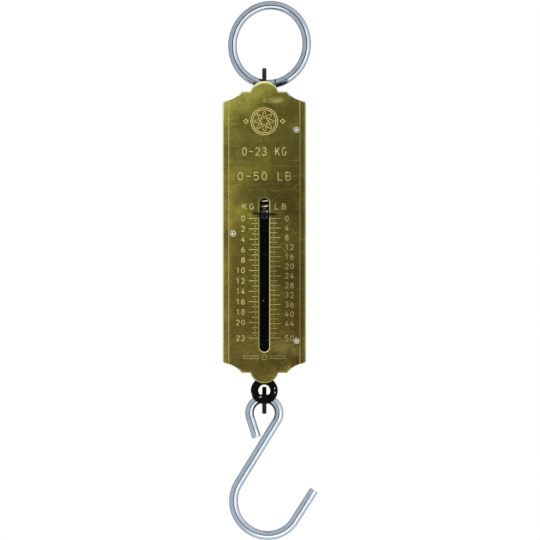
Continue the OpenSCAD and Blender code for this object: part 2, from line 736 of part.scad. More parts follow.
// A thin bar across the slot, on a neck whose peg sits in the lower plug's collar.
module pointer() {
    back = plate_front_y - pointer_gap;
    neck_back = collar_in - collar_r - pin_fit;
    color([0.07, 0.07, 0.08]) in_case() {
        translate([0, back - pointer_t, pointer_z]) rotate([0, pointer_tilt, 0])
            translate([-pointer_len / 2, 0, -pointer_h / 2]) cube([pointer_len, pointer_t, pointer_h]);
        translate([-neck_w / 2, back - pointer_t, pointer_z - pointer_h / 2 - neck_drop])
            cube([neck_w, neck_back - back + pointer_t, neck_drop + pointer_h / 2]);
        translate([0, neck_back + peg_len, peg_z]) rotate([90, 0, 0]) cylinder(d = peg_d, h = peg_len + eps);
    }
}

// The sliding strip: tongue in the lower plug, stop shoulders under the end plate, round eye below.
module draw_bar() {
    stop_z = mid_z - channel_half - gap;
    color([0.09, 0.09, 0.1]) in_case() difference() {
        upright(-bar_t / 2, bar_t) difference() {
            union() {
                translate([-tongue_w / 2, shoulder_z - eps]) square([tongue_w, tongue_len + eps]);
                translate([-bar_w / 2, bar_eye_z]) square([bar_w, shoulder_z - bar_eye_z]);
                translate([-bar_w / 2 - stop_out, stop_z - stop_h]) square([bar_w + 2 * stop_out, stop_h]);
                translate([0, bar_eye_z]) circle(r = bar_eye_r, $fn = 96);
            }
            translate([0, bar_pin_z]) circle(r = pin_d / 2 + pin_fit);
        }
        eye_hole(bar_eye_z, bar_hole_r);
    }
}

module hook() {
    shank_x = loop_r * cos(shank_slant);
    shank_z = loop_z - loop_r * sin(shank_slant);
    low_x = shank_x - shank_len * sin(shank_slant);
    low_z = shank_z - shank_len * cos(shank_slant);
    big_x = low_x + bend_in_r * cos(shank_slant);
    big_z = low_z - bend_in_r * sin(shank_slant);
    out_z = big_z - bend_in_r + bend_out_r;
    thick = hook_wire_d + lap_step;
    color("silver") {
        wire_run(-loop_r * cos(leg_slant), loop_z - loop_r * sin(leg_slant), 180 - leg_slant, leg_len,
            thick, tip_chamfer, 0);
        wire_bend(0, loop_z, loop_r, hook_wire_d, -shank_slant, 180 + shank_slant + leg_slant, lap);
        wire_run(shank_x, shank_z, 180 + shank_slant, shank_len, thick, 0, 0);
        wire_bend(big_x, big_z, bend_in_r, hook_wire_d, 180 - shank_slant, 90 + shank_slant, lap);
        wire_bend(big_x, out_z, bend_out_r, thick, -90, 90 - tip_slant, 0);
        wire_run(big_x + bend_out_r * cos(tip_slant), out_z - bend_out_r * sin(tip_slant), tip_slant,
            tip_len, hook_wire_d, tip_chamfer, lap);
    }
}

ring();
top_link();
face_plate();
case_back();
face_rivets();
top_end_plate();
bottom_end_plate();
top_anchor();
upper_plug();
anchor_rivet();
case_pin();
spring();
lower_plug();
bar_pin();
pointer();
draw_bar();
bottom_link();
hook();
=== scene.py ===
"""Looks of the hanging spring scale: engraved brass face, bright wire, black enamel and a steel spring.

The CAD nodes are the fixed frame. Sizes in the classes are millimetres, and meshes are made in metres.
+X is right and +Z is up as the face is read, and the face looks towards -Y.
"""

import logging
import math
from dataclasses import dataclass, field, replace
from enum import Enum
from typing import NamedTuple

import bmesh
import bpy
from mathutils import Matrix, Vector


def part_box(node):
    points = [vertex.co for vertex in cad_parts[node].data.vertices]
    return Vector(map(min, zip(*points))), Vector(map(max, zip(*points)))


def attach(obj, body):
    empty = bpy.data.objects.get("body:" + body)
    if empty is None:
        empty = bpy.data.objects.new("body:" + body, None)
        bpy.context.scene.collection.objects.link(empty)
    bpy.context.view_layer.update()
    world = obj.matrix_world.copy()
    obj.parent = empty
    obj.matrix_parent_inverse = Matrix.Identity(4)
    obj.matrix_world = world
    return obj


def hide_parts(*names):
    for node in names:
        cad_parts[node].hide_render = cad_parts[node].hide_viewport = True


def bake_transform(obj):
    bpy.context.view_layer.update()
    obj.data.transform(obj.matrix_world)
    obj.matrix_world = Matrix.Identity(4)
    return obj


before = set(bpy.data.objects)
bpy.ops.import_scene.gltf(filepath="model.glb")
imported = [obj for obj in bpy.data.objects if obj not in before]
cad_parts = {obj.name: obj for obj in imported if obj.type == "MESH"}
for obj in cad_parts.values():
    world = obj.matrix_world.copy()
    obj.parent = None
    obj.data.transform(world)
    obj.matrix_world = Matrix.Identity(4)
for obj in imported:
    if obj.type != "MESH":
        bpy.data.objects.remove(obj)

LOG = logging.getLogger("spring_scale")
MM = 0.001

Point = tuple[float, float]
Way = tuple[float, float, float]
Colour = tuple[float, float, float]
Socket = bpy.types.NodeSocket


class Body(Enum):
    """The moving bodies that the scene's own pieces ride on."""

    RING = "ring"
    CASE = "case"
    DRAW = "draw"
    HOOK = "hook"


class Slot(Enum):
    """The record's material slots."""

    BRIGHT_WIRE = "bright_wire"
    BRASS = "brass"
    BLACK_ENAMEL = "black_enamel"
    BLACK_STEEL = "black_steel"
    PLUG_STEEL = "plug_steel"
    PIN_STEEL = "pin_steel"
    RIVET_METAL = "rivet_metal"
    SPRING_STEEL = "spring_steel"


class Align(Enum):
    """Where a line of figures is anchored, as a share of its width."""

    LEFT = 0.0
    CENTRE = 0.5
    RIGHT = 1.0


class Grain(NamedTuple):
    """Noise over a surface: waves per millimetre along X, Y and Z, detail, roughness, and turn about Y."""

    waves: Way
    detail: float = 2.0
    rough: float = 0.5
    turn: float = 0.0

    @classmethod
    def even(cls, waves: float, detail: float = 2.0, rough: float = 0.5) -> "Grain":
        """Noise with the same waves per millimetre every way."""
        return cls((waves, waves, waves), detail, rough)


class Patch(NamedTuple):
    """An oval patch on the front: its middle, its half width and half height, and how much it shows."""

    x: float
    z: float
    half_x: float
    half_z: float
    strength: float = 1.0


# Shader helpers


class Nodes:
    """Short calls for the nodes of one tree."""

    def __init__(self, tree: bpy.types.NodeTree) -> None:
        """Takes the tree that the nodes go into."""
        self.tree = tree

    def add(self, kind: str, **settings: object) -> bpy.types.Node:
        """Adds a node and gives it its settings.

        Args:
            kind: Blender's name of the kind of node.
            settings: Its settings, by their names.

        Returns:
            The node.
        """
        node = self.tree.nodes.new(kind)
        for name, value in settings.items():
            setattr(node, name, value)
        return node

    def link(self, source: Socket, target: Socket) -> None:
        """Joins two sockets."""
        self.tree.links.new(source, target)

    def feed(self, socket: Socket, value: object) -> None:
        """Links a socket, or sets its value where a plain value is given.

        Args:
            socket: The input to feed.
            value: Another socket, a number or a colour.
        """
        if isinstance(value, Socket):
            self.link(value, socket)
        elif isinstance(value, tuple) and len(value) == 3 and socket.type == "RGBA":
            socket.default_value = (*value, 1.0)
        else:
            socket.default_value = value

    def maths(self, operation: str, *values: object, clamp: bool = False) -> Socket:
        """One maths node.

        Args:
            operation: Blender's name of the operation.
            values: Its inputs, as sockets or numbers.
            clamp: Whether the result is kept from 0 to 1.

        Returns:
            The result.
        """
        node = self.add("ShaderNodeMath", operation=operation, use_clamp=clamp)
        for socket, value in zip(node.inputs, values):
            self.feed(socket, value)
        return node.outputs[0]

    def inverse(self, value: Socket) -> Socket:
        """One minus a value."""
        return self.maths("SUBTRACT", 1.0, value)

    def ramp(self, value: Socket, low: float, high: float) -> Socket:
        """A smooth step of value from 0 at low to 1 at high.

        Args:
            value: The value that the step is over.
            low: Where the step starts.
            high: Where it ends.

        Returns:
            The step.
        """
        node = self.add("ShaderNodeMapRange", interpolation_type="SMOOTHSTEP")
        node.inputs["From Min"].default_value = low
        node.inputs["From Max"].default_value = high
        self.link(value, node.inputs["Value"])
        return node.outputs["Result"]

    def mix(self, share: object, first: object, second: object, blend: str = "MIX") -> Socket:
        """Mixes two colours.

        Args:
            share: How much of the second shows.
            first: The first colour or socket.
            second: The second colour or socket.
            blend: Blender's name of the blend.

        Returns:
            The mixed colour.
        """
        node = self.add("ShaderNodeMix", data_type="RGBA", blend_type=blend)
        self.feed(node.inputs[0], share)
        self.feed(node.inputs[6], first)
        self.feed(node.inputs[7], second)
        return node.outputs[2]

    def tint(self, colour: Socket, by: object) -> Socket:
        """Multiplies a colour by another."""
        return self.mix(1.0, colour, by, "MULTIPLY")


class Shader(Nodes):
    """A node material on a principled surface, with short calls for what the finishes use."""

    def __init__(self, name: str) -> None:
        """Starts an empty node material.

        Args:
            name: The material's name.
        """
        self.material = bpy.data.materials.new(name)
        self.material.use_nodes = True
        super().__init__(self.material.node_tree)
        self.surface = self.tree.nodes["Principled BSDF"]
        coordinates = self.add("ShaderNodeTexCoord")
        in_mm = self.add("ShaderNodeVectorMath", operation="SCALE")
        in_mm.inputs["Scale"].default_value = 1 / MM
        self.link(coordinates.outputs["Object"], in_mm.inputs[0])
        self.place = in_mm.outputs["Vector"]

    def axis(self, name: str) -> Socket:
        """One coordinate of the place on the object, in millimetres.

        Args:
            name: X, Y or Z.

        Returns:
            The coordinate.
        """
        node = self.add("ShaderNodeSeparateXYZ")
        self.link(self.place, node.inputs[0])
        return node.outputs[name]

    def facing(self, way: Way) -> Socket:
        """How far the surface faces a direction of the object, from -1 to 1.

        Args:
            way: The direction, of any length.

        Returns:
            The cosine between the two.
        """
        node = self.add("ShaderNodeVectorMath", operation="DOT_PRODUCT")
        node.inputs[1].default_value = Vector(way).normalized()
        self.link(self.add("ShaderNodeTexCoord").outputs["Normal"], node.inputs[0])
        return node.outputs["Value"]

    def reach(self, centre: Point, half: Point) -> Socket:
        """Distance in the X-Z plane from a centre, 1 on the oval of the given half axes.

        Args:
            centre: The centre across and up.
            half: The half axes across and up.

        Returns:
            The distance, 0 in the centre.
        """
        sides = [
            self.maths("DIVIDE", self.maths("SUBTRACT", self.axis(name), middle), size)
            for name, middle, size in (("X", centre[0], half[0]), ("Z", centre[1], half[1]))
        ]
        squares = [self.maths("MULTIPLY", side, side) for side in sides]
        return self.maths("SQRT", self.maths("ADD", *squares))

    def oval(self, patch: Patch) -> Socket:
        """Distance from a patch's middle, 1 on its rim."""
        return self.reach((patch.x, patch.z), (patch.half_x, patch.half_z))

    def stretched(self, scale: Way, turn: float) -> Socket:
        """The place on the object in millimetres, turned about Y and then scaled along each axis.

        Args:
            scale: Scale along X, Y and Z, per millimetre.
            turn: Turn about the Y axis, in degrees.

        Returns:
            The scaled place.
        """
        turned = self.place
        if turn:
            rotate = self.add("ShaderNodeVectorRotate", rotation_type="Y_AXIS")
            rotate.inputs["Angle"].default_value = math.radians(turn)
            self.link(turned, rotate.inputs["Vector"])
            turned = rotate.outputs["Vector"]
        node = self.add("ShaderNodeVectorMath", operation="MULTIPLY")
        node.inputs[1].default_value = scale
        self.link(turned, node.inputs[0])
        return node.outputs["Vector"]

    def noise(self, grain: Grain) -> Socket:
        """Smooth noise of a grain, from 0 to 1.

        Args:
            grain: Its settings.

        Returns:
            The noise.
        """
        node = self.add("ShaderNodeTexNoise")
        node.inputs["Scale"].default_value = 1.0
        node.inputs["Detail"].default_value = grain.detail
        node.inputs["Roughness"].default_value = grain.rough
        self.link(self.stretched(grain.waves, grain.turn), node.inputs["Vector"])
        return node.outputs["Fac"]

    def spread(self, value: Socket, low: float, high: float) -> Socket:
        """The middle half of noise spread to run from low to high.

        Args:
            value: Noise of 0 to 1.
            low: The result at a quarter.
            high: The result at three quarters.

        Returns:
            The spread noise, which stays between low and high.
        """
        node = self.add("ShaderNodeMapRange")
        node.inputs["From Min"].default_value = 0.25
        node.inputs["From Max"].default_value = 0.75
        node.inputs["To Min"].default_value = low
        node.inputs["To Max"].default_value = high
        self.link(value, node.inputs["Value"])
        return node.outputs["Result"]

    def grey(self, value: Socket) -> Socket:
        """Turns a number into a grey colour.

        Args:
            value: The number.

        Returns:
            The grey.
        """
        node = self.add("ShaderNodeCombineColor")
        for socket in node.inputs:
            self.link(value, socket)
        return node.outputs[0]

    def bump(self, height: Socket, depth: float) -> None:
        """Bumps the surface by a height of 0 to 1 times a depth in millimetres.

        Args:
            height: The height.
            depth: What a height of 1 stands for.
        """
        node = self.add("ShaderNodeBump")
        node.inputs["Distance"].default_value = depth * MM
        node.inputs["Strength"].default_value = 1.0
        self.link(height, node.inputs["Height"])
        self.link(node.outputs["Normal"], self.surface.inputs["Normal"])

    def set(self, **values: object) -> None:
        """Sets the surface's inputs by name, with _ for a space."""
        for name, value in values.items():
            self.feed(self.surface.inputs[name.replace("_", " ")], value)


# Finishes


@dataclass(frozen=True)
class Finish:
    """What every finish has: a name and a way to make its material."""

    name: str = "finish"

    def paint(self) -> bpy.types.Material:
        """Makes the material, or returns the one made before."""
        return bpy.data.materials.get(self.name) or self.make()

    def make(self) -> bpy.types.Material:
        """Builds the material."""
        raise NotImplementedError


@dataclass(frozen=True)
class BrightWire(Finish):
    """Bright zinc plate on drawn wire, with faint dulling and fine marks.

    The dark reflection is a black patch painted on the ring's outer side beside its joint, a painted
    reflection of something dark; the seam is the dark joint itself. The spans of the painted reflection and
    the seam, and the joint's place to the right of the painted reflection's centre, are shares of its
    radius.
    """

    name: str = "bright_zinc_wire"
    colour: Colour = (0.64, 0.67, 0.71)
    dull: Colour = (0.54, 0.57, 0.61)
    # The black of the painted dark reflection beside the ring's joint.
    burnt: Colour = (0.008, 0.008, 0.009)
    roughness: float = 0.10
    cloud: Grain = Grain.even(0.35, 4.0, 0.6)
    wave: Grain = Grain.even(0.8)
    wave_depth: float = 0.012
    # Centre, radius, spans and ragged edge of the painted dark reflection beside the joint.
    burn_centre: Point | None = None
    burn_r: float = 16.2
    burn_start: Point = (0.10, 0.15)
    burn_end: Point = (0.48, 0.60)
    burn_out: Point = (0.985, 1.015)
    burn_ragged: float = 0.02
    joint_at: float = 0.19
    seam_half: Point = (0.012, 0.030)

    def make(self) -> bpy.types.Material:
        """Builds the material.

        Returns:
            The material.
        """
        s = Shader(self.name)
        cloud = s.noise(self.cloud)
        wave = s.noise(self.wave)
        tone = s.mix(s.ramp(cloud, 0.45, 0.75), self.colour, self.dull)
        metal: object = 1.0
        # Painted dark reflection: a black, non-metallic patch beside the ring's joint, with the dark seam.
        if self.burn_centre:
            burn = self.burn(s, wave)
            tone = s.mix(burn, tone, self.burnt)
            metal = s.inverse(burn)
        s.set(Base_Color=tone, Metallic=metal)
        s.set(Roughness=s.spread(cloud, self.roughness * 0.7, self.roughness * 1.5))
        s.bump(wave, self.wave_depth)
        return s.material

    def burn(self, s: Shader, ragged: Socket) -> Socket:
        """The painted dark reflection and the dark seam of the joint.

        Args:
            s: The shader.
            ragged: Noise that breaks the painted reflection's edge.

        Returns:
            How much of them shows.
        """
        out = s.reach(self.burn_centre, (self.burn_r, self.burn_r))
        out = s.maths("ADD", out, s.spread(ragged, -self.burn_ragged, self.burn_ragged))
        across = s.maths("SUBTRACT", s.axis("X"), self.burn_centre[0])
        along = s.maths("DIVIDE", across, self.burn_r)
        ends = s.maths("SUBTRACT", s.ramp(along, *self.burn_start), s.ramp(along, *self.burn_end))
        below = s.maths("LESS_THAN", s.axis("Z"), self.burn_centre[1])
        patch = s.maths("MULTIPLY", ends, s.ramp(out, *self.burn_out))
        apart = s.maths("ABSOLUTE", s.maths("SUBTRACT", along, self.joint_at))
        seam = s.inverse(s.ramp(apart, *self.seam_half))
        return s.maths("MULTIPLY", s.maths("MAXIMUM", patch, seam), below, clamp=True)


@dataclass(frozen=True, kw_only=True)
class AgedBrass(Finish):
    """Brushed sheet brass gone olive under old lacquer, with pale engraving and worn bright edges, and
    painted light: yellower and brighter at the upper left and along the top, edges painted brighter where
    they face up and left, a painted highlight along the tab's edge, and painted shadow patches.
    """

    name: str = "aged_brass"
    face_y: float
    half_width: float
    top: float
    bottom: float
    # Where the border lines start, and how far the scales' ticks reach out and up.
    border_x: float = 15.0
    ticks_x: float = 8.9
    ticks_z: float = -93.5
    # Depths behind the face at which a groove turns pale, and past which a forward-facing surface, such as
    # the inner part of the slot's bevel, is painted brown as shade.
    groove_depth: Point = (0.02, 0.06)
    back_depth: Point = (0.22, 0.30)
    # body, yellow and brown follow the patina and the painted light: yellow where light is painted at the
    # upper left and top, brown to the right and below.
    body: Colour = (0.230, 0.183, 0.035)
    yellow: Colour = (0.860, 0.745, 0.115)
    brown: Colour = (0.122, 0.088, 0.019)
    green: Colour = (0.155, 0.174, 0.031)
    pale: Colour = (1.0, 0.89, 0.22)
    # rim is the bright colour of worn edges and dents, and of the painted highlights on edges that face up
    # and left and along the tab.
    rim: Colour = (1.0, 0.94, 0.38)
    mark: Colour = (0.92, 0.76, 0.28)
    dim_mark: Colour = (0.50, 0.38, 0.14)
    # What the lower half, the border lines and the ticks are multiplied by.
    warm: Colour = (1.16, 1.07, 1.10)
    tan: Colour = (0.78, 0.68, 0.54)
    tick: Colour = (0.80, 0.82, 0.60)
    cloud: Grain = Grain((0.06, 0.06, 0.05), 3.0, 0.6)
    mottle: Grain = Grain((0.5, 0.5, 0.6), 4.0, 0.7)
    streak: Grain = Grain((0.10, 1.0, 5.5), 2.0, 0.6)
    fine: Grain = Grain((0.35, 1.0, 16.0), 1.0)
    speckle: Grain = Grain((1.6, 1.0, 2.4), 3.0, 0.7)
    brushed: Grain = Grain((0.25, 1.0, 1.7), 4.0, 0.8, 20.0)
    dent: Grain = Grain((2.2, 1.0, 2.2), 1.0)
    level_scratch: Grain = Grain((0.05, 0.3, 4.2), 0.0, 0.4)
    # The turn of the scratches, and the noise above which they show.
    scratch_ways: tuple[Point, ...] = ((38.0, 0.71), (-52.0, 0.72), (8.0, 0.70))
    scratch_strength: float = 0.40
    dent_strength: float = 0.75
    smudges: tuple[Patch, ...] = (
        Patch(0.3, -41.4, 1.5, 1.5, 0.34),
        Patch(5.7, -41.3, 4.4, 1.8, 0.50),
        Patch(7.8, -154.2, 6.4, 4.0, 0.20),
        Patch(14.0, -156.5, 3.0, 2.6, 0.10),
        Patch(-6.0, -153.5, 13.0, 8.0, 0.07),
    )
    # Painted shadow patches: brown ovals at the right of the face and beside the pointer.
    shades: tuple[Patch, ...] = (
        Patch(13.5, -92.5, 6.0, 4.5, 0.45),
        Patch(8.0, -83.0, 14.0, 10.0, 0.45),
        Patch(17.0, -80.0, 3.2, 5.0, 0.45),
    )
    rubbed: Patch = Patch(9.5, -68.0, 9.0, 6.5)
    # The way from which the edges' painted light comes: up and to the left.
    worn_side: Way = (-0.6, 0.0, 0.8)
    # The upper tab's radius, and how far the hollow side of the painted highlight along the tab's edge is
    # moved from the tab's middle.
    tab_r: float = 6.65
    crescent_shift: Point = (0.35, -0.55)
    brush_depth: float = 0.012

    def make(self) -> bpy.types.Material:
        """Builds the material.

        Returns:
            The material.
        """
        s = Shader(self.name)
        across = s.maths("DIVIDE", s.maths("ADD", s.axis("X"), self.half_width), 2 * self.half_width)
        down = s.maths("DIVIDE", s.maths("SUBTRACT", self.top, s.axis("Z")), self.top - self.bottom)
        patina = self.patina(s, across, down)
        mottle, streak, fine = (s.noise(grain) for grain in (self.mottle, self.streak, self.fine))
        front = s.facing((0.0, -1.0, 0.0))
        seen = s.maths("GREATER_THAN", front, 0.1)
        back = self.deeper(s, self.back_depth)
        marks = self.marks(s, front, back)
        edges = self.edges(s, front, seen, back)
        crescent = self.crescent(s)
        tone = self.lacquer(s, patina, mottle)
        tone = self.brushing(s, tone, streak, fine)
        tone = self.wear(s, tone, across, down)
        # Painted highlight along the tab's edge, in the bright rim colour.
        tone = s.mix(crescent, tone, self.rim)
        tone = s.mix(marks, tone, self.engraving(s, patina))
        # Painted shade: brown on forward-facing surfaces deeper behind the face, the inner part of the
        # slot's bevel.
        tone = s.mix(s.maths("MULTIPLY", back, seen), tone, self.brown)
        # Worn edges, with painted highlight where they face up and to the left.
        tone = s.mix(edges, tone, self.rim)
        # Less metallic on the edges, the groove floors and the tab's painted highlight, so that they stay
        # bright.
        plain = s.maths("MAXIMUM", s.maths("MULTIPLY", edges, 0.85), s.maths("MULTIPLY", marks, 0.4))
        plain = s.maths("MAXIMUM", plain, s.maths("MULTIPLY", crescent, 0.8))
        rough = s.maths("ADD", s.spread(mottle, 0.30, 0.42), s.maths("MULTIPLY", marks, 0.15))
        s.set(Base_Color=tone, Metallic=s.inverse(plain), Roughness=rough)
        height = s.maths("ADD", s.maths("MULTIPLY", streak, 0.6), s.maths("MULTIPLY", fine, 0.4))
        s.bump(height, self.brush_depth)
        return s.material

    def patina(self, s: Shader, across: Socket, down: Socket) -> Socket:
        """How far the brass goes from yellow, at 0, to brown, at 1: cloudy patina together with painted
        light, which keeps it yellow and bright at the upper left and in a band along the top.

        Args:
            s: The shader.
            across: 0 at the left edge of the face and 1 at its right.
            down: 0 at the top of the face and 1 at its bottom.

        Returns:
            The patina with the painted light fall, which is cloudy and grows to the right and downwards.
        """
        # Painted light: the band along the top, and partly the fall to the right and downwards, stand for
        # light from the upper left.
        painted_top_light = s.maths("MULTIPLY", s.inverse(s.ramp(down, 0.0, 0.13)), 0.26)
        sideways = s.maths("SUBTRACT", s.maths("MULTIPLY", across, 0.62), painted_top_light)
        cloudy = s.spread(s.noise(self.cloud), -0.24, 0.24)
        downwards = s.maths("ADD", s.maths("MULTIPLY", down, 0.36), cloudy)
        return s.maths("ADD", sideways, downwards)

    def deeper(self, s: Shader, depths: Point) -> Socket:
        """A step from 0 at the first depth behind the face to 1 at the second."""
        return s.ramp(s.axis("Y"), self.face_y + depths[0], self.face_y + depths[1])

    def lacquer(self, s: Shader, patina: Socket, mottle: Socket) -> Socket:
        """The lacquered brass: yellow, olive and brown by the patina and the painted light, mottled green,
        and brown in the painted shadow patches.

        Args:
            s: The shader.
            patina: How far the lacquer has gone, with the painted light fall.
            mottle: Noise that mottles it.

        Returns:
            Its colour.
        """
        tone = s.mix(s.ramp(patina, -0.25, 0.42), self.yellow, self.body)
        tone = s.mix(s.ramp(patina, 0.45, 1.0), tone, self.brown)
        tone = s.mix(s.spread(mottle, 0.0, 0.4), tone, s.mix(0.5, tone, self.green))
        # Painted shade: each painted shadow patch turns the brass brown.
        for shade in self.shades:
            tone = s.mix(self.ragged(s, shade, mottle), tone, self.brown)
        return tone

    def brushing(self, s: Shader, tone: Socket, streak: Socket, fine: Socket) -> Socket:
        """Lightens and darkens the brass along its brush lines and in speckles.

        Args:
            s: The shader.
            tone: The colour so far.
            streak: Noise of the broad brush lines.
            fine: Noise of the fine ones.

        Returns:
            The colour with its brush lines.
        """
        light = s.maths("MULTIPLY", s.spread(streak, 0.87, 1.14), s.spread(fine, 0.93, 1.08))
        light = s.maths("MULTIPLY", light, s.spread(s.noise(self.speckle), 0.82, 1.20))
        return s.tint(tone, s.grey(light))

    def wear(self, s: Shader, tone: Socket, across: Socket, down: Socket) -> Socket:
        """Adds the smudges, the warmth of the lower half, the scratches and the dents.

        Args:
            s: The shader.
            tone: The colour so far.
            across: 0 at the left edge of the face and 1 at its right.
            down: 0 at the top of the face and 1 at its bottom.

        Returns:
            The colour with its wear.
        """
        brushed = s.noise(self.brushed)
        for smudge in self.smudges:
            tone = s.mix(self.ragged(s, smudge, brushed), tone, self.pale)
        tone = s.mix(s.ramp(down, 0.3, 0.8), tone, s.tint(tone, self.warm))
        tone = s.mix(self.scratches(s), tone, self.pale)
        return s.mix(self.dents(s, across), tone, self.rim)

    def ragged(self, s: Shader, patch: Patch, noise: Socket) -> Socket:
        """How much a patch shows, with its edge broken by noise."""
        reach = s.maths("ADD", s.oval(patch), s.spread(noise, -0.6, 0.6))
        return s.maths("MULTIPLY", s.inverse(s.ramp(reach, 0.3, 1.1)), patch.strength)

    def scratches(self, s: Shader) -> Socket:
        """Fine pale scratches: three directions of few, and level ones where the face was rubbed.

        Args:
            s: The shader.

        Returns:
            How much of them shows.
        """
        total: object = 0.0
        for turn, low in self.scratch_ways:
            line = s.noise(Grain((0.09, 0.3, 5.0), 1.0, 0.4, turn))
            place = s.noise(Grain((0.11, 0.11, 0.11), 1.0, 0.5, turn))
            mark = s.maths("MULTIPLY", s.ramp(line, low, low + 0.04), s.ramp(place, 0.5, 0.62))
            total = s.maths("MAXIMUM", total, mark)
        level = s.ramp(s.noise(self.level_scratch), 0.66, 0.70)
        within = s.inverse(s.ramp(s.oval(self.rubbed), 0.6, 1.0))
        total = s.maths("MAXIMUM", total, s.maths("MULTIPLY", level, within))
        return s.maths("MULTIPLY", total, self.scratch_strength)

    def dents(self, s: Shader, across: Socket) -> Socket:
        """Tiny bright dents, close together along the left edge and few elsewhere.

        Args:
            s: The shader.
            across: 0 at the left edge of the face and 1 at its right.

        Returns:
            How much of them shows.
        """
        low = s.maths("MULTIPLY_ADD", s.ramp(across, 0.02, 0.12), 0.09, 0.66)
        dent = s.maths("MULTIPLY", s.maths("SUBTRACT", s.noise(self.dent), low), 20.0, clamp=True)
        return s.maths("MULTIPLY", dent, self.dent_strength)

    def crescent(self, s: Shader) -> Socket:
        """A painted highlight along the upper tab's round edge, broadest at its upper left, as light
        catches the edge there.

        Args:
            s: The shader.

        Returns:
            How much of it shows.
        """
        middle = (self.crescent_shift[0], self.top - self.tab_r + self.crescent_shift[1])
        lit_share = s.ramp(s.reach(middle, (self.tab_r, self.tab_r)), 0.86, 1.06)
        return s.maths("MULTIPLY", lit_share, s.ramp(s.axis("Z"), self.top - 3.6, self.top - 1.4))

    def marks(self, s: Shader, front: Socket, back: Socket) -> Socket:
        """The floors of the grooves, which lie behind the face and look straight forward."""
        marks = s.maths("MULTIPLY", self.deeper(s, self.groove_depth), s.inverse(back))
        return s.maths("MULTIPLY", marks, s.maths("GREATER_THAN", front, 0.95))

    def engraving(self, s: Shader, patina: Socket) -> Socket:
        """The grooves' colour: dimmer where the patina and painted light turn the brass brown, tan along
        the border and dull on the scales.

        Args:
            s: The shader.
            patina: How far the lacquer has gone, with the painted light fall.

        Returns:
            The colour.
        """
        colour = s.mix(s.ramp(patina, 0.38, 0.78), self.mark, self.dim_mark)
        off_middle = s.maths("ABSOLUTE", s.axis("X"))
        border = s.tint(s.mix(0.9, colour, self.mark), self.tan)
        colour = s.mix(s.maths("GREATER_THAN", off_middle, self.border_x), colour, border)
        beside = s.maths("LESS_THAN", off_middle, self.ticks_x)
        on_scale = s.maths("MULTIPLY", beside, s.maths("LESS_THAN", s.axis("Z"), self.ticks_z))
        return s.mix(on_scale, colour, s.tint(colour, self.tick))

    def edges(self, s: Shader, front: Socket, seen: Socket, back: Socket) -> Socket:
        """The soft edges, bright as worn, and painted brightest where they look up and to the left, as
        light from there catches them.

        Args:
            s: The shader.
            front: How far the surface faces forward.
            seen: 1 where it faces forward at all.
            back: 1 deeper behind the face, where the painted shade begins.

        Returns:
            How much of them shows.
        """
        slope = s.maths("MULTIPLY", s.inverse(s.ramp(front, 0.88, 0.995)), seen)
        # Painted light: edges that face up and to the left get more of the bright rim colour.
        lit_share = s.maths("MULTIPLY_ADD", s.facing(self.worn_side), 0.62, 0.52, clamp=True)
        return s.maths("MULTIPLY", s.maths("MULTIPLY", slope, lit_share), s.inverse(back))


@dataclass(frozen=True)
class BlackFinish(Finish):
    """Black on steel, with bare metal where it is chipped or knocked, and bare patches painted as
    highlights.

    chips is the noise above which a speck is bare, so a higher value leaves fewer of them.
    """

    name: str = "chipped_enamel"
    colour: Colour = (0.003, 0.003, 0.003)
    bare: Colour = (0.42, 0.40, 0.37)
    dust: Colour = (0.011, 0.012, 0.013)
    roughness: float = 0.10
    shine: float = 0.5
    cloud: Grain = Grain.even(0.3, 4.0, 0.6)
    speck: Grain = Grain.even(1.4, 2.0, 0.6)
    rough_use: Grain = Grain.even(0.16, 1.0)
    peel: Grain = Grain.even(0.9)
    peel_depth: float = 0.006
    chips: float = 0.68
    knocks: tuple[Patch, ...] = ()
    dusty_below: float | None = None

    def make(self) -> bpy.types.Material:
        """Builds the material.

        Returns:
            The material.
        """
        s = Shader(self.name)
        cloud, speck = s.noise(self.cloud), s.noise(self.speck)
        chipped = self.chipped(s, speck)
        cover = s.mix(s.ramp(cloud, 0.4, 0.8), self.colour, tuple(c * 1.5 for c in self.colour))
        if self.dusty_below is not None:
            clean = s.ramp(s.axis("Z"), self.dusty_below - 0.3, self.dusty_below)
            cover = s.mix(clean, self.dust, cover)
        s.set(Base_Color=s.mix(chipped, cover, self.bare), Specular_IOR_Level=self.shine)
        rough = s.spread(cloud, self.roughness * 0.75, self.roughness * 1.35)
        s.set(Roughness=s.maths("MAXIMUM", rough, s.maths("MULTIPLY", chipped, 0.6)))
        s.bump(s.maths("SUBTRACT", s.noise(self.peel), chipped), self.peel_depth)
        return s.material

    def chipped(self, s: Shader, speck: Socket) -> Socket:
        """The bare specks where the piece had rough use, and the knocks and painted highlights, with their
        edges broken.

        Args:
            s: The shader.
            speck: Noise that makes the specks and breaks the edges.

        Returns:
            How bare the steel is.
        """
        rough_use = s.ramp(s.noise(self.rough_use), 0.52, 0.60)
        chipped = s.maths("MULTIPLY", s.ramp(speck, self.chips, self.chips + 0.03), rough_use)
        broken = s.spread(speck, -0.7, 0.7)
        for bare_spot in self.knocks:
            reach = s.maths("ADD", s.oval(bare_spot), broken)
            chipped = s.maths("MAXIMUM", chipped, s.inverse(s.ramp(reach, 0.65, 0.85)))
        return chipped


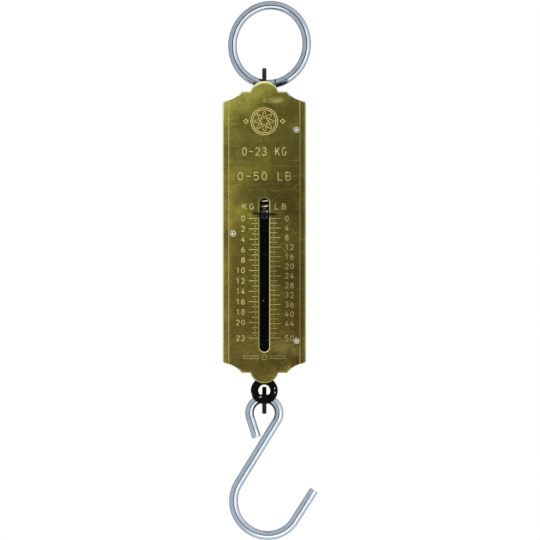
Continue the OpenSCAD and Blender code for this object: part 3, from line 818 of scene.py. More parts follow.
@dataclass(frozen=True)
class TurnedSteel(Finish):
    """Plain or blued steel with fine lines round it, for plugs, pins and rivets, with painted shade above a
    given height.
    """

    name: str = "turned_steel"
    colour: Colour = (0.40, 0.40, 0.42)
    stain: Colour = (0.20, 0.19, 0.18)
    # Near-black of the painted shade above the given height.
    oil: Colour = (0.016, 0.013, 0.010)
    roughness: float = 0.28
    metallic: float = 1.0
    cloud: Grain = Grain.even(0.5, 4.0, 0.6)
    lines: Grain = Grain((0.4, 0.4, 5.0), 2.0, 0.6)
    line_depth: float = 0.008
    oiled_above: float | None = None

    def make(self) -> bpy.types.Material:
        """Builds the material.

        Returns:
            The material.
        """
        s = Shader(self.name)
        lines = s.noise(self.lines)
        tone = s.mix(s.ramp(s.noise(self.cloud), 0.45, 0.8), self.colour, self.stain)
        # Painted shade: near black above the height, on the lower plug's core inside the coil.
        if self.oiled_above is not None:
            shaded = s.ramp(s.axis("Z"), self.oiled_above - 0.1, self.oiled_above + 0.1)
            tone = s.mix(shaded, tone, self.oil)
        s.set(Base_Color=tone, Metallic=self.metallic)
        s.set(Roughness=s.spread(lines, self.roughness * 0.8, self.roughness * 1.25))
        s.bump(lines, self.line_depth)
        return s.material


@dataclass(frozen=True)
class OiledSpring(Finish):
    """Spring wire with painted shade in dark brown on the coils' upper and left sides, and a painted shadow
    on the coils left of a line, as from the slot's left wall.
    """

    name: str = "shaded_spring_wire"
    colour: Colour = (0.88, 0.78, 0.60)
    # The dark brown of the painted shade.
    oil: Colour = (0.030, 0.018, 0.008)
    cloud: Grain = Grain.even(0.6, 3.0, 0.6)
    cloud_depth: float = 0.01
    # Which side of the coils and how far across the painted shade lies, and the line left of which the
    # painted shadow lies.
    thick_side: Way = (-1.2, 0.0, 0.9)
    thick_span: Point = (-0.34, 0.02)
    run_x: float = -0.9
    run_w: float = 0.7

    def make(self) -> bpy.types.Material:
        """Builds the material.

        Returns:
            The material.
        """
        s = Shader(self.name)
        cloud = s.noise(self.cloud)
        # Painted shade: dark where the coil faces up and to the left, and all dark left of the painted
        # shadow's line.
        side = s.maths("ADD", s.facing(self.thick_side), s.spread(cloud, -0.12, 0.12))
        right_of_shadow = s.ramp(s.axis("X"), self.run_x - self.run_w / 2, self.run_x + self.run_w / 2)
        shaded_share = s.maths("MAXIMUM", s.ramp(side, *self.thick_span), s.inverse(right_of_shadow))
        s.set(Base_Color=s.mix(shaded_share, self.colour, self.oil))
        s.set(Metallic=s.maths("MULTIPLY_ADD", shaded_share, -0.8, 1.0), Roughness=s.spread(cloud, 0.12, 0.24))
        s.bump(cloud, self.cloud_depth)
        return s.material


# Mesh helpers


class MeshWork:
    """Makes pieces from points in millimetres."""

    # Points closer than this are one.
    SAME_PLACE: float = 0.05

    @staticmethod
    def piece(name: str, points: list[Vector], faces: list[tuple[int, ...]]) -> bpy.types.Object:
        """Makes an object from points in millimetres.

        Args:
            name: The piece's name.
            points: Its corners.
            faces: The corners of each face.

        Returns:
            The object, linked to the scene.
        """
        mesh = bpy.data.meshes.new(name)
        mesh.from_pydata([tuple(p * MM for p in point) for point in points], [], faces)
        mesh.update()
        made = bpy.data.objects.new(name, mesh)
        bpy.context.scene.collection.objects.link(made)
        return made

    @staticmethod
    def smooth(made: bpy.types.Object, angle: float) -> None:
        """Shades a piece smooth, apart from edges sharper than an angle in degrees."""
        made.data.shade_smooth()
        made.data.set_sharp_from_angle(angle=math.radians(angle))

    @staticmethod
    def tube(
        name: str, path: list[Vector], radii: list[float], side: Vector, sides: int
    ) -> bpy.types.Object:
        """Sweeps a round section along a path.

        Args:
            name: The piece's name.
            path: The points of the middle line.
            radii: The radius at each point.
            side: A direction that is never along the path.
            sides: Sides of the section.

        Returns:
            The closed tube.
        """
        points: list[Vector] = []
        for i, centre in enumerate(path):
            ahead = path[min(i + 1, len(path) - 1)] - path[max(i - 1, 0)]
            across = ahead.cross(side).normalized()
            up = across.cross(ahead).normalized()
            for k in range(sides):
                turn = 2 * math.pi * k / sides
                points.append(centre + radii[i] * (math.cos(turn) * across + math.sin(turn) * up))
        faces: list[tuple[int, ...]] = []
        for i in range(len(path) - 1):
            for k in range(sides):
                a, b = i * sides + k, i * sides + (k + 1) % sides
                faces.append((a, a + sides, b + sides, b))
        last = (len(path) - 1) * sides
        faces.append(tuple(range(sides)))
        faces.append(tuple(reversed(range(last, last + sides))))
        return MeshWork.piece(name, points, faces)

    @staticmethod
    def arc(centre: Point, radius: float, start: float, sweep: float, step: float = 3.0) -> list[Vector]:
        """Points along an arc in the X-Z plane, with angles in degrees from +X towards +Z.

        Args:
            centre: Its centre across and up.
            radius: Its radius.
            start: The angle of its first point.
            sweep: How far it turns, with its sign.
            step: About how far apart its points are.

        Returns:
            The points, both ends among them.
        """
        count = max(2, round(abs(sweep) / step))
        turns = [math.radians(start + sweep * i / count) for i in range(count + 1)]
        return [
            Vector((centre[0] + radius * math.cos(t), 0.0, centre[1] + radius * math.sin(t))) for t in turns
        ]

    @staticmethod
    def joined(stretches: list[list[Vector]]) -> list[Vector]:
        """Joins stretches end to end, without their doubled points.

        Args:
            stretches: The points of each stretch.

        Returns:
            The whole path.
        """
        path: list[Vector] = []
        for stretch in stretches:
            start = 1 if path and (path[-1] - stretch[0]).length < MeshWork.SAME_PLACE else 0
            path += stretch[start:]
        return path


# Wire work


@dataclass
class BentWire:
    """A piece bent from round wire in the plane of the load, with slightly rounded cut ends."""

    wire_d: float = 4.0
    edge_r: float = 0.3
    edge_steps: int = 3
    sides: int = 40
    sharp_over: float = 25.0
    finish: BrightWire = BrightWire()

    def path(self) -> list[Vector]:
        """The wire's middle line, from one cut end to the other."""
        raise NotImplementedError

    def profile(self) -> tuple[list[Vector], list[float]]:
        """The middle line with rounded ends.

        Returns:
            The points, and the wire's radius at each.
        """
        path = self.path()
        radius = self.wire_d / 2
        turns = [math.pi / 2 * i / self.edge_steps for i in range(self.edge_steps + 1)]
        steps = [
            (self.edge_r * (1 - math.cos(t)), radius - self.edge_r * (1 - math.sin(t))) for t in turns
        ]
        into_start = (path[1] - path[0]).normalized()
        into_end = (path[-2] - path[-1]).normalized()
        start = [path[0] + into_start * along for along, _ in steps]
        end = [path[-1] + into_end * along for along, _ in reversed(steps)]
        radii = [r for _, r in steps]
        return start + path[1:-1] + end, radii + [radius] * (len(path) - 2) + radii[::-1]

    def build(self, name: str, node: str, body: Body) -> bpy.types.Object:
        """Makes the wire and puts it in a CAD node's place.

        Args:
            name: The piece's name.
            node: The CAD node that it stands for.
            body: The body that it rides on.

        Returns:
            The piece.
        """
        path, radii = self.profile()
        made = MeshWork.tube(name, path, radii, Vector((0, 1, 0)), self.sides)
        MeshWork.smooth(made, self.sharp_over)
        dress(made, self.finish, Slot.BRIGHT_WIRE, body, node)
        return made


@dataclass
class HangingRing(BentWire):
    """The ring at the top: four arcs round a leaning oval, closed by a butt joint at the lower right."""

    long_half: float = 18.1
    short_half: float = 16.95
    end_r: float = 16.0
    lean: float = 14.0
    shift: float = 2.4
    joint_angle: float = 11.0
    joint_w: float = 0.06
    edge_r: float = 0.2
    # The ring's finish carries the painted dark reflection beside its joint.
    finish: BrightWire = BrightWire("bright_ring_wire", wave_depth=0.02, burn_centre=(1.9, -17.8))

    def path(self) -> list[Vector]:
        """The ring's middle line, once round from the joint.

        Returns:
            Its points.
        """
        off = self.long_half - self.end_r
        side_r = (off**2 + self.short_half**2 - self.end_r**2) / (2 * (self.short_half - self.end_r))
        side_off = side_r - self.short_half
        join = math.degrees(math.atan2(side_off, off))
        lean = math.radians(self.lean)
        top_x = self.shift + off * math.sin(lean)
        crown_r = self.end_r - self.wire_d / 2
        middle_z = -off * math.cos(lean) - math.sqrt(crown_r**2 - top_x**2)

        def place(x: float, z: float) -> Point:
            """A point of the upright oval, leant and moved to the ring's place.

            Args:
                x: Across the oval.
                z: Along it.

            Returns:
                The point across and up.
            """
            return (
                self.shift + x * math.cos(lean) + z * math.sin(lean),
                middle_z - x * math.sin(lean) + z * math.cos(lean),
            )

        joint = 270 + self.joint_angle
        half_gap = math.degrees(self.joint_w / 2 / self.end_r)
        low_start = 270 - join - self.lean
        low_end = 270 + join - self.lean
        low, high = place(0, -off), place(0, off)
        right, left = place(-side_off, 0), place(side_off, 0)
        side_sweep = 180 - 2 * join
        return MeshWork.joined([
            MeshWork.arc(low, self.end_r, joint + half_gap, low_end - joint - half_gap),
            MeshWork.arc(right, side_r, join - 90 - self.lean, side_sweep),
            MeshWork.arc(high, self.end_r, 90 - join - self.lean, 2 * join),
            MeshWork.arc(left, side_r, join + 90 - self.lean, side_sweep),
            MeshWork.arc(low, self.end_r, low_start, joint - half_gap - low_start),
        ])


@dataclass
class LoadHook(BentWire):
    """The S-hook: free leg, small loop, slanting shank, big bend in two radii and a straight tip."""

    wire_d: float = 4.1
    finish: BrightWire = BrightWire(
        "bright_hook_wire", colour=(0.73, 0.76, 0.80), dull=(0.63, 0.66, 0.70), roughness=0.20
    )
    loop_r: float = 6.75
    loop_step: float = 5.0
    leg_slant: float = 17.8
    leg_len: float = 9.6
    shank_slant: float = 31.6
    shank_len: float = 33.4
    bend_in_r: float = 15.75
    bend_out_r: float = 14.3
    tip_slant: float = 32.6
    tip_len: float = 16.8

    def path(self) -> list[Vector]:
        """The hook's middle line, from its free leg to its tip.

        Returns:
            Its points.
        """
        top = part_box("hook")[1].z / MM
        loop_z = top - self.wire_d / 2 - self.loop_r
        leg, shank, tip = (math.radians(a) for a in (self.leg_slant, self.shank_slant, self.tip_slant))
        leg_top = Vector((-self.loop_r * math.cos(leg), 0, loop_z - self.loop_r * math.sin(leg)))
        leg_end = leg_top + self.leg_len * Vector((math.sin(leg), 0, -math.cos(leg)))
        shank_top = Vector((self.loop_r * math.cos(shank), 0, loop_z - self.loop_r * math.sin(shank)))
        shank_end = shank_top + self.shank_len * Vector((-math.sin(shank), 0, -math.cos(shank)))
        big = (
            shank_end.x + self.bend_in_r * math.cos(shank),
            shank_end.z - self.bend_in_r * math.sin(shank),
        )
        out = (big[0], big[1] - self.bend_in_r + self.bend_out_r)
        tip_start = Vector((
            out[0] + self.bend_out_r * math.cos(tip), 0, out[1] - self.bend_out_r * math.sin(tip)
        ))
        tip_end = tip_start + self.tip_len * Vector((math.sin(tip), 0, math.cos(tip)))
        loop_sweep = 180 + self.shank_slant + self.leg_slant
        return MeshWork.joined([
            [leg_end, (leg_end + leg_top) / 2, leg_top],
            MeshWork.arc((0, loop_z), self.loop_r, 180 + self.leg_slant, -loop_sweep, self.loop_step),
            [shank_top, (shank_top + shank_end) / 2, shank_end],
            MeshWork.arc(big, self.bend_in_r, 180 - self.shank_slant, 90 + self.shank_slant),
            MeshWork.arc(out, self.bend_out_r, -90, 90 - self.tip_slant),
            [tip_start, (tip_start + tip_end) / 2, tip_end],
        ])


# The engraved face


class Glyphs:
    """The strokes of the figures and unit letters, each in a box one wide and one high."""

    # How many degrees of a bow one straight part takes up.
    BOW_STEP: float = 20.0

    @staticmethod
    def bow(x: float, z: float, rx: float, rz: float, start: float, sweep: float) -> list[Point]:
        """Points along part of an oval, with angles in degrees.

        Args:
            x: Its centre across.
            z: Its centre up.
            rx: Its half width.
            rz: Its half height.
            start: The angle of the first point.
            sweep: How far the part turns, with its sign.

        Returns:
            The points, both ends among them.
        """
        count = max(3, round(abs(sweep) / Glyphs.BOW_STEP))
        turns = [math.radians(start + sweep * i / count) for i in range(count + 1)]
        return [(x + rx * math.cos(t), z + rz * math.sin(t)) for t in turns]

    @classmethod
    def strokes(cls, sign: str) -> list[list[Point]]:
        """The strokes of one sign. A stroke that ends where it starts is a closed loop.

        Args:
            sign: A figure, a letter, a dash or a space.

        Returns:
            The points of each stroke.
        """
        bow = cls.bow
        signs: dict[str, list[list[Point]]] = {
            " ": [],
            "-": [[(0.1, 0.5), (0.9, 0.5)]],
            "0": [bow(0.5, 0.5, 0.46, 0.5, 90, 360)],
            "1": [[(0.2, 0.78), (0.55, 1.0), (0.55, 0.0)]],
            "2": [bow(0.48, 0.72, 0.44, 0.28, 160, -200) + [(0.04, 0.0), (0.98, 0.0)]],
            "3": [bow(0.46, 0.76, 0.4, 0.24, 150, -240), bow(0.46, 0.26, 0.46, 0.26, 90, -240)],
            "4": [[(0.6, 1.0), (0.04, 0.3), (0.98, 0.3)], [(0.7, 0.52), (0.7, 0.0)]],
            "5": [[(0.88, 1.0), (0.18, 1.0), (0.1, 0.54)] + bow(0.46, 0.32, 0.46, 0.32, 115, -255)],
            "6": [
                bow(0.5, 0.3, 0.46, 0.3, 90, 360),
                [(0.06, 0.36), (0.16, 0.66), (0.4, 0.88), (0.76, 1.0)],
            ],
            "8": [bow(0.5, 0.77, 0.38, 0.23, -90, 360), bow(0.5, 0.27, 0.46, 0.27, 90, 360)],
            "B": [
                [(0.06, 0.0), (0.06, 1.0)],
                [(0.06, 1.0), (0.5, 1.0)] + bow(0.5, 0.76, 0.36, 0.24, 90, -180) + [(0.06, 0.52)],
                [(0.06, 0.52), (0.52, 0.52)] + bow(0.52, 0.26, 0.42, 0.26, 90, -180) + [(0.06, 0.0)],
            ],
            "G": [bow(0.5, 0.5, 0.46, 0.5, 50, 285) + [(0.96, 0.44), (0.6, 0.44)]],
            "K": [[(0.06, 0.0), (0.06, 1.0)], [(0.94, 1.0), (0.06, 0.38)], [(0.36, 0.6), (0.98, 0.0)]],
            "L": [[(0.08, 1.0), (0.08, 0.0), (0.92, 0.0)]],
        }
        return signs[sign]


@dataclass
class Engraver:
    """Cuts grooves into the face. Grooves that cross are kept in separate layers, one cut after another."""

    face_y: float
    groove_w: float = 0.36
    depth: float = 0.15
    clear: float = 0.3
    # How far a groove's end runs on, as a share of its half width.
    end_run: float = 0.6
    # The least that a corner's reach is divided by, so that a sharp corner doesn't run far out.
    least_cosine: float = 0.5
    # A line whose ends are closer than this is a closed loop.
    same_place: float = 1e-6
    points: dict[int, list[Vector]] = field(default_factory=dict)
    faces: dict[int, list[tuple[int, ...]]] = field(default_factory=dict)

    def groove(self, line: list[Point], layer: int = 0, width: float | None = None) -> None:
        """Adds one groove along a line of points.

        Args:
            line: Its points across and up. One that ends where it starts is a closed loop.
            layer: The layer that it is cut in.
            width: Its width, or None for the usual one.
        """
        half = (width or self.groove_w) / 2
        spots = [Vector(p) for p in line]
        closed = (spots[0] - spots[-1]).length < self.same_place
        if closed:
            spots.pop()
        else:
            spots[0] += (spots[0] - spots[1]).normalized() * half * self.end_run
            spots[-1] += (spots[-1] - spots[-2]).normalized() * half * self.end_run
        count = len(spots)
        points = self.points.setdefault(layer, [])
        faces = self.faces.setdefault(layer, [])
        base = len(points)
        for i, spot in enumerate(spots):
            before = spot - spots[i - 1] if i or closed else spots[1] - spot
            after = spots[(i + 1) % count] - spot if i < count - 1 or closed else before
            one, two = before.normalized(), after.normalized()
            ahead = (one + two).normalized()
            out = Vector((-ahead.y, ahead.x)) * half / max(self.least_cosine, ahead.dot(two))
            for y in (self.face_y - self.clear, self.face_y + self.depth):
                for side in (out, -out):
                    points.append(Vector((spot.x + side.x, y, spot.y + side.y)))
        last = count if closed else count - 1
        for i in range(last):
            a, b = base + 4 * i, base + 4 * ((i + 1) % count)
            for k, m in ((0, 1), (1, 3), (3, 2), (2, 0)):
                faces.append((a + k, a + m, b + m, b + k))
        if not closed:
            end = base + 4 * (count - 1)
            faces.append((base, base + 2, base + 3, base + 1))
            faces.append((end, end + 1, end + 3, end + 2))

    def words(
        self, text: str, x: float, z: float, high: float, wide: float, step: float, align: Align
    ) -> None:
        """Adds a line of figures or letters.

        Args:
            text: The signs.
            x: The anchor across.
            z: The middle height.
            high: The signs' height.
            wide: The signs' width.
            step: From one sign to the next.
            align: Which end of the line is at x.
        """
        start = x - align.value * (step * (len(text) - 1) + wide)
        for i, sign in enumerate(text):
            for layer, stroke in enumerate(Glyphs.strokes(sign)):
                placed = [(start + i * step + px * wide, z + (pz - 0.5) * high) for px, pz in stroke]
                self.groove(placed, layer)

    def cutters(self) -> list[bpy.types.Object]:
        """Makes one cutting object a layer.

        Returns:
            The cutting objects, in the order of the layers.
        """
        made: list[bpy.types.Object] = []
        for layer in sorted(self.points):
            cutter = MeshWork.piece(f"cutter_{layer}", self.points[layer], self.faces[layer])
            work = bmesh.new()
            work.from_mesh(cutter.data)
            bmesh.ops.recalc_face_normals(work, faces=work.faces)
            work.to_mesh(cutter.data)
            work.free()
            made.append(cutter)
        return made


@dataclass
class FacePlate:
    """The brass face: the CAD plate with figures, units and ornaments cut into it, and soft edges."""

    zero_z: float = -95.31
    scale_len: float = 54.7
    full_kg: int = 23
    kg_step: int = 2
    kg_right: float = -9.0
    full_lb: int = 50
    lb_step: int = 4
    lb_left: float = 9.6
    figure_high: float = 2.3
    figure_wide: float = 1.45
    figure_step: float = 2.35
    unit_z: float = -89.9
    unit_x: float = 7.4
    unit_high: float = 2.4
    unit_wide: float = 1.9
    unit_step: float = 3.2
    # Text, middle height and whole width of each line, and the share of a step that a sign fills.
    range_rows: tuple[tuple[str, float, float], ...] = (
        ("0-23 KG", -64.7, 20.1), ("0-50 LB", -76.0, 24.3)
    )
    range_high: float = 3.5
    range_fill: float = 0.65
    rosette_z: float = -50.9
    rosette_r: float = 6.2
    rosette_inner: float = 0.86
    # One half of a petal's outline, along it and across it, as shares of its reach.
    petal: tuple[Point, ...] = ((0.3, 0.0), (0.45, 0.1), (0.65, 0.16), (0.88, 0.1), (1.0, 0.0))
    petals: int = 8
    petal_reach: float = 0.74
    petal_groove_w: float = 0.3
    diamond_off: float = 2.2
    diamond_half: float = 1.0
    rule_z: float = -158.8
    rule_in: float = 2.4
    rule_out: float = 9.7
    rule_apart: float = 1.1
    rule_ring_r: float = 1.1
    weld: float = 0.0005
    flat_angle: float = 0.05
    speck: float = 0.001
    # A side deeper than this is the plate's own, and not a groove's.
    side_depth: float = 0.8
    edge_w: float = 0.55
    edge_steps: int = 3
    sharp_over: float = 30.0

    def build(self) -> bpy.types.Object:
        """Engraves the face and puts it in the CAD plate's place.

        Returns:
            The face.
        """
        low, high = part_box("face_plate")
        plate = self.blank()
        engraver = Engraver(face_y=low.y / MM)
        self.figures(engraver)
        self.ornaments(engraver)
        self.cut(plate, engraver.cutters())
        self.soften(plate)
        MeshWork.smooth(plate, self.sharp_over)
        finish = AgedBrass(
            face_y=low.y / MM, half_width=high.x / MM, top=high.z / MM, bottom=low.z / MM
        )
        dress(plate, finish, Slot.BRASS, Body.CASE, "face_plate")
        return plate

    def blank(self) -> bpy.types.Object:
        """A copy of the CAD plate's shape with its corners welded.

        Returns:
            The copy, linked to the scene.
        """
        work = bmesh.new()
        work.from_mesh(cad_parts["face_plate"].data)
        bmesh.ops.remove_doubles(work, verts=work.verts, dist=self.weld * MM)
        mesh = bpy.data.meshes.new("engraved_face")
        points = [v.co.copy() for v in work.verts]
        faces = [tuple(v.index for v in f.verts) for f in work.faces]
        work.free()
        mesh.from_pydata(points, [], faces)
        plate = bpy.data.objects.new("engraved_face", mesh)
        bpy.context.scene.collection.objects.link(plate)
        return plate

    def figures(self, engraver: Engraver) -> None:
        """Engraves both rows of figures, the units over them and the two lines of the range.

        A figure that would stand too close to the full load's is left out.

        Args:
            engraver: What the grooves are given to.
        """
        size = (self.figure_high, self.figure_wide, self.figure_step)
        for full, step, x, align in (
            (self.full_kg, self.kg_step, self.kg_right, Align.RIGHT),
            (self.full_lb, self.lb_step, self.lb_left, Align.LEFT),
        ):
            for load in [*range(0, full - step // 2, step), full]:
                z = self.zero_z - self.scale_len * load / full
                engraver.words(str(load), x, z, *size, align)
        unit = (self.unit_high, self.unit_wide, self.unit_step)
        engraver.words("KG", -self.unit_x, self.unit_z, *unit, Align.CENTRE)
        engraver.words("LB", self.unit_x, self.unit_z, *unit, Align.CENTRE)
        for text, z, wide in self.range_rows:
            step = wide / (len(text) - 1 + self.range_fill)
            engraver.words(text, 0.0, z, self.range_high, step * self.range_fill, step, Align.CENTRE)

    def ornaments(self, engraver: Engraver) -> None:
        """Engraves the rosette near the top, the diamonds beside it and the rule below the slot.

        Args:
            engraver: What the grooves are given to.
        """
        ring = Glyphs.bow
        for radius in (self.rosette_r, self.rosette_r * self.rosette_inner):
            engraver.groove(ring(0, self.rosette_z, radius, radius, 0, 360))
        for petal in range(self.petals):
            outline = self.petal_outline(2 * math.pi * petal / self.petals)
            engraver.groove(outline, layer=petal % 2, width=self.petal_groove_w)
        z, half = self.rosette_z, self.diamond_half
        for side in (-1, 1):
            x = side * (self.rosette_r + self.diamond_off)
            engraver.groove([(x - half, z), (x, z + half), (x + half, z), (x, z - half), (x - half, z)])
            for line_z in (self.rule_z + self.rule_apart / 2, self.rule_z - self.rule_apart / 2):
                engraver.groove([(side * self.rule_in, line_z), (side * self.rule_out, line_z)])
        engraver.groove(ring(0, self.rule_z, self.rule_ring_r, self.rule_ring_r, 0, 360))

    def petal_outline(self, turn: float) -> list[Point]:
        """The closed outline of a petal.

        Args:
            turn: Its direction, in radians from +X towards +Z.

        Returns:
            Points on the face.
        """
        leaf = list(self.petal)
        reach = self.rosette_r * self.petal_reach
        outline = leaf + [(a, -b) for a, b in reversed(leaf[1:-1])] + leaf[:1]
        return [
            (
                reach * (a * math.cos(turn) - b * math.sin(turn)),
                self.rosette_z + reach * (a * math.sin(turn) + b * math.cos(turn)),
            )
            for a, b in outline
        ]

    def cut(self, plate: bpy.types.Object, cutters: list[bpy.types.Object]) -> None:
        """Cuts every layer out of the plate, then removes the cutting objects.

        Args:
            plate: The plate.
            cutters: The cutting objects.
        """
        for cutter in cutters:
            step = plate.modifiers.new(cutter.name, "BOOLEAN")
            step.operation = "DIFFERENCE"
            step.solver = "MANIFOLD"
            step.object = cutter
        scene_now = bpy.context.evaluated_depsgraph_get()
        shaped = bpy.data.meshes.new_from_object(plate.evaluated_get(scene_now))
        plate.modifiers.clear()
        plate.data = shaped
        for cutter in cutters:
            bpy.data.objects.remove(cutter)

    def soften(self, plate: bpy.types.Object) -> None:
        """Rounds the plate's outer edge a little, as pressing leaves it.

        Args:
            plate: The plate.
        """
        work = bmesh.new()
        work.from_mesh(plate.data)
        bmesh.ops.dissolve_limit(
            work, angle_limit=math.radians(self.flat_angle), verts=work.verts, edges=work.edges
        )
        work.normal_update()
        outline = [edge for edge in work.edges if self.is_outline(edge)]
        LOG.info("plate outline edges: %d", len(outline))
        bmesh.ops.bevel(
            work, geom=outline, offset=self.edge_w * MM, segments=self.edge_steps, profile=0.5,
            affect="EDGES", clamp_overlap=False,
        )
        bmesh.ops.dissolve_degenerate(work, dist=self.speck * MM, edges=work.edges)
        work.to_mesh(plate.data)
        work.free()

    def is_outline(self, edge: bmesh.types.BMEdge) -> bool:
        """Whether an edge joins the front to the plate's outer side.

        Args:
            edge: The edge.

        Returns:
            True where one of its faces is the front and the other the outer side.
        """
        if len(edge.link_faces) != 2:
            return False
        front = [f for f in edge.link_faces if f.normal.y < -0.99]
        side = [f for f in edge.link_faces if abs(f.normal.y) < 0.01]
        if len(front) != 1 or len(side) != 1:
            return False
        depths = [v.co.y for v in side[0].verts]
        return max(depths) - min(depths) > self.side_depth * MM


class Rivet(NamedTuple):
    """A rivet's middle across and up, the radius of its head, and how far its bright middle is askew."""

    x: float
    z: float
    head_r: float
    askew: Point = (0.0, 0.0)


class Row(NamedTuple):
    """A ring of a rivet's corners: radius, depth, share of the head's askew, and whether it is painted dark
    as a reflection.
    """

    radius: float
    y: float
    askew: float = 0.0
    dirty: bool = False


@dataclass
class FaceRivets:
    """The three small rivets: a turned-over rim, a groove round the head painted dark as a reflection, and
    a bright middle.
    """

    rivets: tuple[Rivet, ...] = (
        Rivet(14.7, -54.71, 1.3),
        Rivet(14.7, -151.31, 1.25, (-0.15, 0.05)),
        Rivet(-14.4, -102.21, 1.4, (-0.32, -0.25)),
    )
    # Share of the head's radius, height over the face, and whether it is painted dark as a reflection.
    head: tuple[tuple[float, float, bool], ...] = (
        (0.0, 0.55, False), (0.2, 0.53, False), (0.36, 0.44, False), (0.44, 0.30, False),
        (0.47, 0.10, True), (0.72, 0.08, True), (0.77, 0.24, False), (0.85, 0.36, False),
        (0.93, 0.34, False), (1.0, 0.20, False), (1.0, -0.02, False),
    )
    # Shares of the radius and the height of the head at the back.
    back: tuple[Point, ...] = ((1.0, 0.0), (0.8, 0.6), (0.4, 0.95), (0.0, 1.0))
    back_r: float = 1.4
    back_h: float = 0.4
    shank_r: float = 0.9
    shank_clear: float = 0.02
    sides: int = 32
    sharp_over: float = 50.0
    bright: TurnedSteel = TurnedSteel(
        "turned_rivet", colour=(0.90, 0.86, 0.72), stain=(0.62, 0.54, 0.36), roughness=0.3, metallic=0.45
    )
    # Painted dark reflection in the groove round each rivet head.
    grime: BlackFinish = BlackFinish("rivet_dark_groove", colour=(0.016, 0.013, 0.007), roughness=0.6, chips=0.9)

    def build(self) -> bpy.types.Object:
        """Makes the three rivets as one piece in the place of the CAD rivets.

        Returns:
            The piece.
        """
        points: list[Vector] = []
        faces: list[tuple[int, ...]] = []
        dirty: list[bool] = []
        for rivet in self.rivets:
            rows = self.rows(rivet.head_r)
            dirty += self.join(rows, len(points), faces)
            points += self.corners(rivet, rows)
        made = MeshWork.piece("face_rivet_heads", points, faces)
        MeshWork.smooth(made, self.sharp_over)
        dress(made, self.bright, Slot.RIVET_METAL, Body.CASE, "face_rivets")
        made.data.materials.append(self.grime.paint())
        made.data.polygons.foreach_set("material_index", [int(flag) for flag in dirty])
        return made

    def rows(self, head_r: float) -> list[Row]:
        """The rings of one rivet, from the middle of its head to the middle of its back.

        Args:
            head_r: The head's radius.

        Returns:
            The rings, of which the first and the last are single corners.
        """
        face_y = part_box("face_plate")[0].y / MM
        back_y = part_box("face_rivets")[1].y / MM - self.back_h
        head = [Row(share * head_r, face_y - h, 1.0 - share, dark_row) for share, h, dark_row in self.head]
        shank = [Row(self.shank_r, y) for y in (face_y + self.shank_clear, back_y - self.shank_clear)]
        back = [Row(share * self.back_r, back_y + h * self.back_h) for share, h in self.back]
        return head + shank + back

    def corners(self, rivet: Rivet, rows: list[Row]) -> list[Vector]:
        """One rivet's corners.

        Args:
            rivet: The rivet.
            rows: Its rings.

        Returns:
            The corners ring by ring, and then the middles of the head and the back.
        """
        turns = [2 * math.pi * k / self.sides for k in range(self.sides)]
        found = [
            Vector((
                rivet.x + rivet.askew[0] * row.askew + row.radius * math.cos(turn),
                row.y,
                rivet.z + rivet.askew[1] * row.askew + row.radius * math.sin(turn),
            ))
            for row in rows[1:-1] for turn in turns
        ]
        found.append(Vector((rivet.x + rivet.askew[0], rows[0].y, rivet.z + rivet.askew[1])))
        found.append(Vector((rivet.x, rows[-1].y, rivet.z)))
        return found

    def join(self, rows: list[Row], base: int, faces: list[tuple[int, ...]]) -> list[bool]:
        """Joins one rivet's corners with faces.

        Args:
            rows: Its rings.
            base: The number of its first corner.
            faces: The list that its faces are added to.

        Returns:
            Whether each new face is painted dark.
        """
        rings = len(rows) - 2
        front = base + rings * self.sides
        last = base + (rings - 1) * self.sides
        dirty: list[bool] = []
        for k in range(self.sides):
            after = (k + 1) % self.sides
            faces.append((front, base + k, base + after))
            dirty.append(False)
            for i in range(rings - 1):
                a = base + i * self.sides
                faces.append((a + k, a + self.sides + k, a + self.sides + after, a + after))
                dirty.append(rows[i + 1].dirty and rows[i + 2].dirty)
            faces.append((last + k, front + 1, last + after))
            dirty.append(False)
        return dirty


# The spring and the CAD pieces


@dataclass
class CoilSpring:
    """The extension spring: a smooth tube on the CAD spring's helix."""

    wire_d: float = 1.8
    coil_d: float = 12.4
    pitch: float = 2.5
    start_angle: float = 225.0
    cad_steps: int = 8
    cad_sides: int = 6
    core_h: float = 5.2
    points_per_turn: int = 40
    sides: int = 16
    sharp_over: float = 40.0
    finish: OiledSpring = OiledSpring()

    def build(self) -> bpy.types.Object:
        """Makes the spring between the two plugs.

        Returns:
            The spring.
        """
        low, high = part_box("spring")
        plug_low, plug_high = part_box("lower_plug")
        axis_y = (plug_low.y + plug_high.y) / 2 / MM
        flat = self.wire_d / 2 * math.cos(math.pi / self.cad_sides)
        bottom, top = low.z / MM + flat, high.z / MM - flat
        turns = round((top - bottom) / self.pitch * self.cad_steps) / self.cad_steps
        count = round(turns * self.points_per_turn)
        path: list[Vector] = []
        for i in range(count + 1):
            turn = math.radians(self.start_angle + 360 * turns * i / count)
            path.append(Vector((
                self.coil_d / 2 * math.cos(turn),
                axis_y + self.coil_d / 2 * math.sin(turn),
                bottom + (top - bottom) * i / count,
            )))
        for end, angle, way in ((0, self.start_angle, -1), (-1, self.start_angle + 360 * turns, 1)):
            turn = math.radians(angle)
            heading = Vector((-math.sin(turn), math.cos(turn), 0.0))
            run = path[end] + way * self.wire_d * heading
            if way < 0:
                path.insert(0, run)
            else:
                path.append(run)
        made = MeshWork.tube(
            "spring_coil", path, [self.wire_d / 2] * len(path), Vector((0, 0, 1)), self.sides
        )
        MeshWork.smooth(made, self.sharp_over)
        made.data.materials.append(self.finish.paint())
        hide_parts("spring")
        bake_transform(made)
        return made


